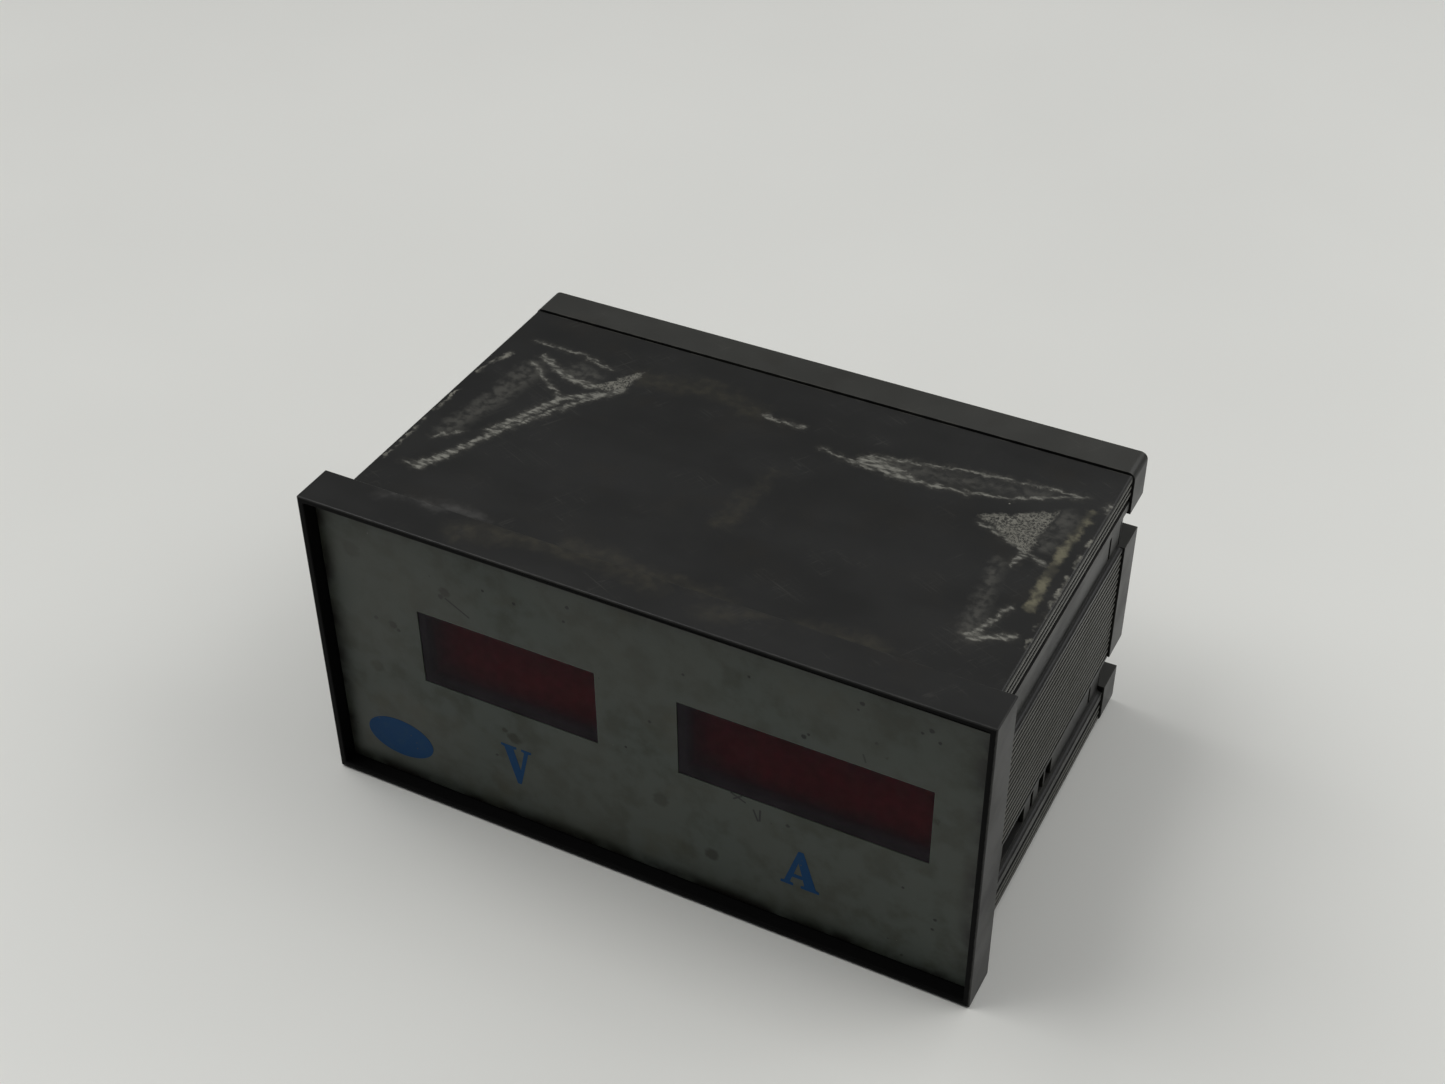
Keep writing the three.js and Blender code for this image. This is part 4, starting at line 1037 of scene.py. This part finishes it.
class FacePlate(bpy.types.Operator):
    """Makes the printed plate and the red windows behind it"""
    bl_idname = "panel_meter.face_plate"
    bl_label = "Face plate and windows"

    def execute(self, context):
        mesh = rounded(merged_copy("front_plate"), 0.07 * MM, segments=2)
        piece("face_plate", mesh, "front", finish_of("plate_print"),
              ["front_plate"])
        for node_name, window in zip(("window_volts", "window_amps"), WINDOWS):
            left, right, bottom, top = window
            sheet = carved(boxes("sheet", [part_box(node_name)]), boxes("trim", [block(
                left - TRIM_REACH, right + TRIM_REACH, *SHEET_TRIM,
                bottom - TRIM_REACH, top + TRIM_REACH)]))
            step = boxes("step", [block(
                left + PANE_GAP, right - PANE_GAP, *PANE_STEP,
                bottom + PANE_GAP, top - PANE_GAP)])
            mesh = rounded(joined("pane", [sheet, step]), 0.05 * MM, segments=2)
            piece(f"{node_name}_pane", mesh, "front", finish_of("red_filter"),
                  [node_name])
        return {"FINISHED"}


# Outlines of the printed marks, from their lower left corners.
LETTER_V = (
    (0, 10.1), (0, 9.55), (0.75, 9.35), (3.25, 0), (4.1, 0), (6.35, 9.35), (7.07, 9.55),
    (7.07, 10.1), (4.75, 10.1), (4.75, 9.55), (5.4, 9.35), (4.2, 3.9), (2.85, 9.35),
    (3.6, 9.55), (3.6, 10.1))
LETTER_A = (
    (0, 0), (2.7, 0), (2.7, 0.6), (1.95, 0.8), (2.45, 2.4), (4.75, 2.4), (5.05, 0.8), (4.3, 0.6),
    (4.3, 0), (8.2, 0), (8.2, 0.6), (7.5, 0.8), (4.75, 9.86), (3.65, 9.86), (0.75, 0.8), (0, 0.6))
GAP_IN_A = ((2.75, 3.3), (4.55, 3.3), (3.72, 6.7))
OVAL = (-57.2, 11.9 - 36, 8.0, 5.0)      # middle and half axes


class Marks(bpy.types.Operator):
    """Prints the unit letters and the plain oval on the plate"""
    bl_idname = "panel_meter.marks"
    bl_label = "Printed marks"

    def execute(self, context):
        front = (PLATE[0].y - depth(0)) / MM
        span = (front - context.scene.meter_sizes.ink / MM, front + 0.01)

        def mark(outline, x, height, span=span):
            return plate("mark", [(x + u, height + v) for u, v in outline], *span)
        letter_a = carved(mark(LETTER_A, 30.9, -24.1),
                          mark(GAP_IN_A, 30.9, -24.1, (front - 1, front + 1)))
        x, height, wide, high = OVAL
        turns = [math.tau * i / 64 for i in range(64)]
        oval = plate("oval", [(x + wide * math.cos(a), height + high * math.sin(a))
                              for a in turns], *span)
        for name, mesh in (("mark_volts", mark(LETTER_V, -31.84, -24.55)),
                           ("mark_amps", letter_a), ("mark_oval", oval)):
            piece(name, mesh, "front", finish("blue_screen_ink", screen_ink))
        return {"FINISHED"}


class CaseHalves(bpy.types.Operator):
    """Makes the two halves of the case, which are one part used twice"""
    bl_idname = "panel_meter.case_halves"
    bl_label = "Case halves"

    def execute(self, context):
        sizes = context.scene.meter_sizes
        upper = carved(half_shell(sizes), wall_slots(*SLIT_HEIGHTS, [SLIT]))
        lower = half_shell(sizes)
        middle = Vector((0, 0, MID_Z))
        lower.transform(Matrix.Translation(middle) @ Matrix.Rotation(math.pi, 4, "Y")
                        @ Matrix.Translation(-middle))
        lower = carved(lower, wall_slots(*HOOK_HEIGHTS, [SLIT, *HOOK_SLOTS]))
        for name, mesh, node_name in (("cover_half", upper, "case_upper"),
                                      ("base_half", lower, "case_lower")):
            piece(name, rounded(mesh, 0.15 * MM, segments=2), "case",
                  finish("worn_abs_with_label_residue", moulded_abs("cover")), [node_name])
        return {"FINISHED"}


class CaseRibs(bpy.types.Operator):
    """Sets out the ribs along both side walls"""
    bl_idname = "panel_meter.case_ribs"
    bl_label = "Wall ribs"

    def execute(self, context):
        sizes = context.scene.meter_sizes
        sunk = 0.1 * MM
        size = (sizes.rib_height + sunk, CASE_REAR - CASE_FRONT, sizes.rib_width)
        # The ribs' finish holds a painted highlight on their outer faces and painted shade on their
        # flanks.
        material = finish("rubbed_abs_ribs", moulded_abs("ribs"))
        edge_first = MID_Z + EDGE_BAND[0] * MM + 1.5 * sizes.rib_pitch - sizes.rib_width / 2
        bands = []
        for side in (-1, 1):
            x = side * (CASE_HALF_W - size[0] / 2)
            middle_first = MID_Z - (sizes.middle_ribs - 1) / 2 * sizes.rib_pitch
            for first, step, count in (
                    (middle_first, 1, sizes.middle_ribs), (edge_first, 1, sizes.edge_ribs),
                    (2 * MID_Z - edge_first, -1, sizes.edge_ribs)):
                start = (x, (CASE_FRONT + CASE_REAR) / 2, first)
                bands.append(row("band", size, start, (0, 0, step * sizes.rib_pitch), count,
                                 material))
        mesh = rounded(joined("ribs", bands), 0.2 * MM)
        piece("wall_ribs", mesh, "case", material)
        return {"FINISHED"}


NOTCH = (14.65, 23.3)
NOTCH_FLOOR = (67.5, 65.35)       # how far out its floor lies at its front and at its rear
FRAME_SPAN = (83, 91)
FRAME_HALF = (68.75, 33.2)
OPENING_HALF = (60.5, 25)


class RearFrame(bpy.types.Operator):
    """Makes the frame that closes the rear edge of the case, with its four screws"""
    bl_idname = "panel_meter.rear_frame"
    bl_label = "Rear frame"

    def execute(self, context):
        half_w, half_h = FRAME_HALF
        start, end = FRAME_SPAN
        mesh = plate("frame", rectangle(-half_w, half_w, -half_h, half_h, 1.6), start, end)
        wide, high = OPENING_HALF
        mesh = carved(mesh, boxes("opening", [block(-wide, wide, start - 1, end + 1, -high, high)]))
        for side in (-1, 1):
            for level in (-1, 1):
                mesh = carved(mesh, self.notch(side, level))
                where = at(side * PORTS[0], start - 1, level * PORTS[1])
                mesh = carved(mesh, placed(lathed("port", scaled_points([
                    (0, 0), (1.5, 0), (1.5, 6.2), (3.1, 6.2), (3.1, 10), (0, 10)])), where))
        piece("rear_frame_moulding", rounded(mesh, 0.25 * MM), "case",
              finish_of("frame_plastic"), ["rear_frame"])
        points = [at(side * PORTS[0], FRAME_SPAN[1] - 2.5, level * PORTS[1])
                  for side in (-1, 1) for level in (-1, 1)]
        screws = copies("frame_screws", recessed_screw(), points, finish_of("plated_steel"))
        piece("frame_screws", screws, "case", finish_of("plated_steel"),
              [f"rear_screw_{number}" for number in (1, 2, 3, 4)])
        return {"FINISHED"}

    def notch(self, side, level):
        """A wedge where a clamp channel runs out, deeper towards the rear."""
        bm = bmesh.new()
        low, high = sorted((level * NOTCH[0], level * NOTCH[1]))
        front, back = FRAME_SPAN[0] - 1, FRAME_SPAN[1] + 1
        outline = ((NOTCH_FLOOR[0], front), (FRAME_HALF[0] + 1, front),
                   (FRAME_HALF[0] + 1, back), (NOTCH_FLOOR[1], back))
        face = bm.faces.new([bm.verts.new(at(side * x, behind, low)) for x, behind in outline])
        moved = bmesh.ops.extrude_face_region(bm, geom=[face])["geom"]
        verts = [v for v in moved if isinstance(v, bmesh.types.BMVert)]
        bmesh.ops.translate(bm, verts=verts, vec=(0, 0, (high - low) * MM))
        return made_mesh("notch", bm)


def threads(radius, root, pitch, start, end):
    """Profile points of thread rings, from the tip of a screw to its head."""
    points = []
    for i in range(int((end - start) / pitch)):
        y = start + i * pitch
        points += [(root, y), (radius, y + 0.3 * pitch), (radius, y + 0.5 * pitch)]
    return points + [(root, end)]


def recessed_screw():
    """A pan-head screw with a crossed recess, its axis along Y and its seat at the origin."""
    head = lathed("head", scaled_points([
        (0, 0), (2.6, 0), (2.7, 0.15), (2.68, 0.9), (2.4, 1.4), (1.8, 1.75), (1, 1.92), (0, 2)]))
    arm, half = 1.55, 0.36
    cross = [(half, arm), (-half, arm), (-half, half), (-arm, half), (-arm, -half), (-half, -half),
             (-half, -arm), (half, -arm), (half, -half), (arm, -half), (arm, half), (half, half)]
    head = carved(head, prism("cross", scaled_points(cross), 0.7 * MM, 3 * MM))
    profile = [(0, -18.4), *threads(1.2, 0.95, 0.8, -18, 0), (0, 0)]
    shank = lathed("shank", scaled_points(profile), 20)
    return joined("screw", [rounded(head, 0.05 * MM, segments=2), shank])


class Terminals(bpy.types.Operator):
    """Makes the screw terminals at the rear"""
    bl_idname = "panel_meter.terminals"
    bl_label = "Screw terminals"

    def execute(self, context):
        for row_name in ("input", "supply"):
            node_name = f"terminal_block_{row_name}"
            piece(f"{row_name}_terminals", rounded(merged_copy(node_name), 0.22 * MM), "case",
                  finish_of("block_plastic"), [node_name])
        steel = finish_of("plated_steel")
        for index in range(TERMINALS):
            number = index + 1
            washer = rounded(merged_copy(f"clamp_plate_{number}"), 0.12 * MM, segments=2)
            piece(f"wire_clamp_{number}", washer, f"clamp_{number}", steel,
                  [f"clamp_plate_{number}"])
            low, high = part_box(f"terminal_screw_{number}")
            seat = Vector(((low.x + high.x) / 2, high.y - 1.8 * MM, (low.z + high.z) / 2))
            shape = slotted_screw(context.scene.meter_sizes.screw_head / MM, SCREW_HEAD_TILT[index])
            screw = copies("screw", shape, [seat], steel)
            piece(f"slotted_screw_{number}", screw, f"screw_{number}", steel,
                  [f"terminal_screw_{number}"])
        return {"FINISHED"}


def slotted_screw(radius, tilt):
    """A cheese-head screw, its axis along Y and the underside of its head at the origin."""
    head = lathed("head", scaled_points([
        (0, 0), (radius - 0.15, 0), (radius, 0.15), (radius - 0.02, 1.3), (radius - 0.25, 1.65),
        (radius - 0.7, 1.8), (0, 1.8)]), 64)
    reach = (radius + 1) * MM
    head = carved(head, boxes("slot", [
        ((-reach, 0.85 * MM, -0.4 * MM), (reach, 3 * MM, 0.4 * MM))]))
    profile = [(0, -4.6), *threads(1.5, 1.25, 0.5, -4.4, 0), (0, 0)]
    shank = lathed("shank", scaled_points(profile), 24)
    return placed(joined("screw", [rounded(head, 0.06 * MM, segments=2), shank]), (0, 0, 0), tilt)


class RearPlate(bpy.types.Operator):
    """Makes the plate inside the rear opening, with its air slots"""
    bl_idname = "panel_meter.rear_plate"
    bl_label = "Slotted rear plate"

    def execute(self, context):
        sizes = context.scene.meter_sizes
        low, high = REAR_PLATE
        mesh = boxes("plate", [(low, high)])
        middle = (low + high) / 2
        first = middle.x - (sizes.air_slots - 1) / 2 * sizes.slot_pitch
        start = (first, middle.y, MID_Z + AIR_SLOT_HEIGHT * MM)
        cutters = row("slots", (sizes.slot_width, 6 * MM, sizes.slot_height), start,
                      (sizes.slot_pitch, 0, 0), sizes.air_slots, finish_of("case_plastic"))
        mesh = carved(mesh, cutters)
        for x, height in ADJUSTER_HOLES:
            mesh = carved(mesh, round_hole(x, height, 79, 84, 2.6, 40))
        piece("slotted_plate", rounded(mesh, 0.2 * MM, segments=2), "case",
              finish_of("case_plastic"), ["rear_plate"])
        return {"FINISHED"}


AIR_SLOT_HEIGHT = 12
ADJUSTER_HOLES = ((-4, -15), (-14, -15))
WINDOW_HEIGHT = 4.3               # middle of the windows above mid-height
DIGITS = {"volts": (-28.85, 3), "amps": (34.8, 4)}


class Display(bpy.types.Operator):
    """Makes the mask, the digits and the board behind the windows"""
    bl_idname = "panel_meter.display"
    bl_label = "Display"

    def execute(self, context):
        for name, node_name, slot, edge in (
                ("light_mask", "display_mask", "mask_black", 0.15),
                ("digit_board", "display_board", "board_laminate", 0.1)):
            piece(name, rounded(merged_copy(node_name), edge * MM, segments=2), "case",
                  finish_of(slot), [node_name])
        pitch = context.scene.meter_sizes.digit_pitch
        for row_name, (x, count) in DIGITS.items():
            places = []
            for index in range(count):
                node_name = f"digit_{row_name}_{index + 1}"
                mesh = rounded(merged_copy(node_name), 0.15 * MM, segments=2)
                piece(f"{row_name}_digit_{index + 1}", mesh, "case",
                      finish_of("digit_face"), [node_name])
                offset = (index - (count - 1) / 2) * pitch
                places.append(at(x, DIGIT_FRONT, WINDOW_HEIGHT) + Vector((offset, 0, 0)))
            segments = copies("segments", segment_shape(), places, finish_of("segment"))
            piece(f"{row_name}_segments", segments, "case", finish_of("segment"))
        return {"FINISHED"}


DIGIT_FRONT = 7.4


def segment_shape():
    """The seven bars and the point of one digit, leaning to the right, on its face."""
    long, thick, rise = 6.4, 1.7, 0.03
    tip = thick / 2
    across = [(-long / 2, 0), (tip - long / 2, -tip), (long / 2 - tip, -tip), (long / 2, 0),
              (long / 2 - tip, tip), (tip - long / 2, tip)]
    upright = [(-b, a) for a, b in across]
    reach = long / 2 + 0.25
    bars = [[(a, b + level * 2 * reach) for a, b in across] for level in (-1, 0, 1)]
    bars += [[(a + side * reach, b + level * reach) for a, b in upright]
             for side in (-1, 1) for level in (-1, 1)]
    bars.append([(a + 5.4, b - 2 * reach) for a, b in arc((0, 0), 0.75, 0, 345, 23)])
    lean = math.tan(math.radians(8))
    return joined("segments", [
        prism("bar", scaled_points([(a + b * lean - 0.4, b) for a, b in bar]), -rise * MM, 0)
        for bar in bars])


# Parts on the boards that only get softer edges: CAD node, body, slot, edge radius.
SOFTENED = (
    ("transformer_core", "case", "core_steel", 0.1),
    ("transformer_bobbin", "case", "bobbin_plastic", 0.2),
    ("transformer_winding", "case", "winding", 0.8),
    ("heatsink", "case", "aluminium", 0.15),
    ("current_shunt", "case", "brass", 0.3),
    ("trimmer_body_1", "case", "trimmer_plastic", 0.2),
    ("trimmer_body_2", "case", "trimmer_plastic", 0.2),
    ("trimmer_rotor_1", "trimmer_1", "brass", 0.1),
    ("trimmer_rotor_2", "trimmer_2", "brass", 0.1),
    ("main_board", "case", "board_laminate", 0.1),
)


class BoardParts(bpy.types.Operator):
    """Makes the circuit board with its transformer, cooler and adjusters"""
    bl_idname = "panel_meter.board_parts"
    bl_label = "Board, transformer and adjusters"

    def execute(self, context):
        for node_name, body, slot, edge in SOFTENED:
            mesh = rounded(merged_copy(node_name), edge * MM, segments=2)
            piece(f"{node_name}_finished", mesh, body, finish_of(slot), [node_name])
        return {"FINISHED"}


class PinnedParts(bpy.types.Operator):
    """Makes the circuits, the pin row and the regulator, with their rows of legs"""
    bl_idname = "panel_meter.pinned_parts"
    bl_label = "Circuits and regulator"

    def execute(self, context):
        steel = finish_of("plated_steel")
        epoxy = finish_of("chip_plastic")
        for row_name in ("volts", "amps"):
            node_name = f"converter_chip_{row_name}"
            low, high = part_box(node_name)
            legs = []
            for y in (low.y + 0.55 * MM, high.y - 0.55 * MM):
                start = ((low.x + high.x) / 2 - 9.5 * LEG_PITCH, y, low.z + 1.6 * MM)
                legs.append(row("legs", (1.2 * MM, 1.1 * MM, 3.2 * MM), start,
                                (LEG_PITCH, 0, 0), 20, steel))
            edge = Vector((0, 0.9 * MM, 0))
            body = boxes("body", [(low + edge + Vector((0, 0, MM)), high - edge)])
            notch = placed(lathed("notch", scaled_points(
                [(0, 0), (1.5, 0), (1.5, 3), (0, 3)])), (0, 0, 0), 90, "X")
            notch = placed(notch, (low.x, (low.y + high.y) / 2, high.z - MM))
            piece(f"{row_name}_circuit", rounded(carved(body, notch), 0.2 * MM), "case",
                  epoxy, [node_name])
            piece(f"{row_name}_circuit_legs", rounded(joined("legs", legs), 0.1 * MM, 1), "case",
                  steel)
        self.pin_row(epoxy, steel)
        self.regulator(epoxy, steel)
        return {"FINISHED"}

    def pin_row(self, epoxy, steel):
        low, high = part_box("pin_header")
        bar = boxes("bar", [((low.x, low.y + 0.9 * MM, low.z), (high.x, low.y + 3.5 * MM, high.z))])
        piece("pin_row_body", rounded(bar, 0.15 * MM), "case", epoxy,
              ["pin_header"])
        start = (-9 * LEG_PITCH, (low.y + high.y) / 2, low.z + 1.22 * MM)
        pins = row("pins", (0.64 * MM, high.y - low.y, 0.64 * MM), start, (LEG_PITCH, 0, 0), 19,
                   steel)
        piece("pin_row_contacts", rounded(pins, 0.1 * MM, 1), "case", steel)

    def regulator(self, epoxy, steel):
        low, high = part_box("regulator")
        thick = Vector((0, 1.3 * MM, 0))
        lift = Vector((0, 0, 5 * MM))
        tab = boxes("tab", [(Vector((low.x, high.y, low.z)) - thick + lift, high)])
        screw_low, screw_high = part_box("regulator_screw")
        middle = (screw_low + screw_high) / 2
        hole = placed(lathed("hole", scaled_points([(0, 0), (1.8, 0), (1.8, 6), (0, 6)])),
                      (middle.x, high.y - 4 * MM, middle.z))
        piece("regulator_tab", rounded(carved(tab, hole), 0.12 * MM), "case", steel)
        body = boxes("body", [(low + lift, (high.x, high.y - 1.25 * MM, low.z + 13.5 * MM))])
        piece("regulator_body", rounded(body, 0.2 * MM), "case", epoxy,
              ["regulator"])
        start = ((low.x + high.x) / 2 - LEG_PITCH, high.y - 2.3 * MM, low.z + 2.75 * MM)
        legs = row("legs", (0.8 * MM, 0.6 * MM, 5.5 * MM), start, (LEG_PITCH, 0, 0), 3, steel)
        piece("regulator_legs", rounded(legs, 0.1 * MM, 1), "case", steel)
        head = lathed("head", scaled_points(
            [(0, -2), (2.2, -2), (2.6, -1.7), (2.7, -1.2), (2.7, 0), (0, 0)]))
        shank = lathed("shank", scaled_points([(0, 0), *threads(1.5, 1.25, 0.5, 0, 5.8), (0, 5.8)]))
        screw = placed(joined("screw", [head, shank]), (middle.x, screw_low.y + 2 * MM, middle.z))
        piece("regulator_fixing", screw, "case", steel, ["regulator_screw"])


LEG_PITCH = 2.54 * MM


class Capacitors(bpy.types.Operator):
    """Makes the two upright capacitors"""
    bl_idname = "panel_meter.capacitors"
    bl_label = "Capacitors"

    def execute(self, context):
        sleeve = lathed("sleeve", scaled_points([
            (0, 0), (5.9, 0), (6.2, 0.4), (6.2, 15.5), (5.75, 16.2), (6.2, 16.9), (6.2, 19.4),
            (5.9, 19.8), (5.2, 19.85), (5.2, 19.6), (0, 19.6)]))
        lid = lathed("lid", scaled_points([(0, 19.5), (5.3, 19.5), (5.3, 19.75), (4.9, 19.9), (0, 19.95)]))
        lid = carved(lid, boxes("vent", [((-4.4 * MM, 19.8 * MM, -0.2 * MM),
                                          (4.4 * MM, 21 * MM, 0.2 * MM))]))
        for node_name in ("capacitor_left", "capacitor_right"):
            low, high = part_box(node_name)
            where = ((low.x + high.x) / 2, (low.y + high.y) / 2, low.z)
            for part, shape, slot, material, stands_for in (
                    ("sleeve", sleeve, "can_sleeve", finish_of("can_sleeve"), [node_name]),
                    ("lid", lid, "aluminium", finish_of("can_top"), [])):
                mesh = placed(placed(shape.copy(), (0, 0, 0), 90, "X"), where)
                piece(f"{node_name}_{part}", mesh, "case", material, stands_for)
        return {"FINISHED"}


# ---- Stage -----------------------------------------------------------------------------

AIM = (-6.75, 6.51, 47.26)        # millimetres
CAMERA_DISTANCE = 420.57
HEADING = 27.61                   # degrees to the left of straight in
LOOKING_DOWN = 38.31
ROLL = -0.5
LENS = 50.92
FLOOR_RISE = 1.97                 # degrees; the meter lies on its front frame and its rear frame


class Stage(bpy.types.Operator):
    """Sets up the floor, the lights and the camera"""
    bl_idname = "panel_meter.stage"
    bl_label = "Floor, lights and camera"

    def execute(self, context):
        self.floor()
        self.camera(context.scene)
        self.lights(context.scene)
        context.scene.view_settings.view_transform = "Standard"
        return {"FINISHED"}

    def floor(self):
        half = 3.0
        bm = bmesh.new()
        bmesh.ops.create_grid(bm, x_segments=1, y_segments=1, size=half)
        mesh = made_mesh("table", bm)
        mesh.transform(Matrix.Translation((0, BEZEL[1].y, 0))
                       @ Matrix.Rotation(math.radians(FLOOR_RISE), 4, "X"))
        mesh.materials.append(finish("satin_table_laminate", polished_laminate))
        shown(mesh)

    def camera(self, scene):
        heading, down = math.radians(HEADING), math.radians(LOOKING_DOWN)
        forward = Vector((-math.sin(heading) * math.cos(down),
                          math.cos(heading) * math.cos(down), -math.sin(down)))
        data = bpy.data.cameras.new("camera")
        data.lens = LENS
        data.sensor_width = 36
        data.clip_end = 20
        made = bpy.data.objects.new("camera", data)
        made.location = (Vector(AIM) - forward * CAMERA_DISTANCE) * MM
        turned = forward.to_track_quat("-Z", "Y").to_matrix()
        made.rotation_euler = (turned @ Matrix.Rotation(math.radians(ROLL), 3, "Z")).to_euler()
        scene.collection.objects.link(made)
        scene.camera = made

    def lights(self, scene):
        world = bpy.data.worlds.new("soft room")
        world.use_nodes = True
        back = world.node_tree.nodes["Background"]
        back.inputs["Color"].default_value = linear("#e9edf2")
        back.inputs["Strength"].default_value = 0.09
        scene.world = world
        for name, where, size, power in LAMPS:
            data = bpy.data.lights.new(name, "AREA")
            data.shape = "RECTANGLE"
            data.size, data.size_y = size
            data.energy = power
            made = bpy.data.objects.new(name, data)
            made.location = where
            towards = Vector((0, 0, 0.03)) - Vector(where)
            made.rotation_euler = towards.to_track_quat("-Z", "Y").to_euler()
            scene.collection.objects.link(made)


# Name, place in metres, width and height, watts.
LAMPS = (
    ("window_light", (0.95, 0.4, 1.15), (0.9, 0.8), 6.4),
    ("rear_light", (0.5, 1.3, 1.0), (1.0, 0.7), 3.2),
    ("ceiling_light", (0.0, 0.0, 1.6), (1.5, 1.5), 4.6),
    ("left_light", (-0.9, -0.2, 1.4), (1.2, 1.2), 13.5),
)


# ---- The add-on ------------------------------------------------------------------------

STEPS = (Stage, FrontFrame, FacePlate, Marks, CaseHalves, CaseRibs, RearFrame, RearPlate,
         Terminals, Display, BoardParts, PinnedParts, Capacitors)


class MeterPanel(bpy.types.Panel):
    """Lists the steps that build the meter"""
    bl_idname = "VIEW3D_PT_panel_meter"
    bl_label = "Panel meter"
    bl_space_type = "VIEW_3D"
    bl_region_type = "UI"
    bl_category = "Panel Meter"

    def draw(self, context):
        for settings in (context.scene.meter_sizes, context.scene.meter_finishes):
            column = self.layout.column(align=True)
            for key in settings.__annotations__:
                column.prop(settings, key)
        for step in STEPS:
            self.layout.operator(step.bl_idname)


CLASSES = (MeterSizes, MeterFinishes, *STEPS, MeterPanel)


def register():
    for each in CLASSES:
        bpy.utils.register_class(each)
    bpy.types.Scene.meter_sizes = bpy.props.PointerProperty(type=MeterSizes)
    bpy.types.Scene.meter_finishes = bpy.props.PointerProperty(type=MeterFinishes)


def unregister():
    del bpy.types.Scene.meter_finishes
    del bpy.types.Scene.meter_sizes
    for each in reversed(CLASSES):
        bpy.utils.unregister_class(each)


def main():
    register()
    for step in STEPS:
        group, name = step.bl_idname.split(".")
        getattr(getattr(bpy.ops, group), name)()


if __name__ == "__main__":
    main()
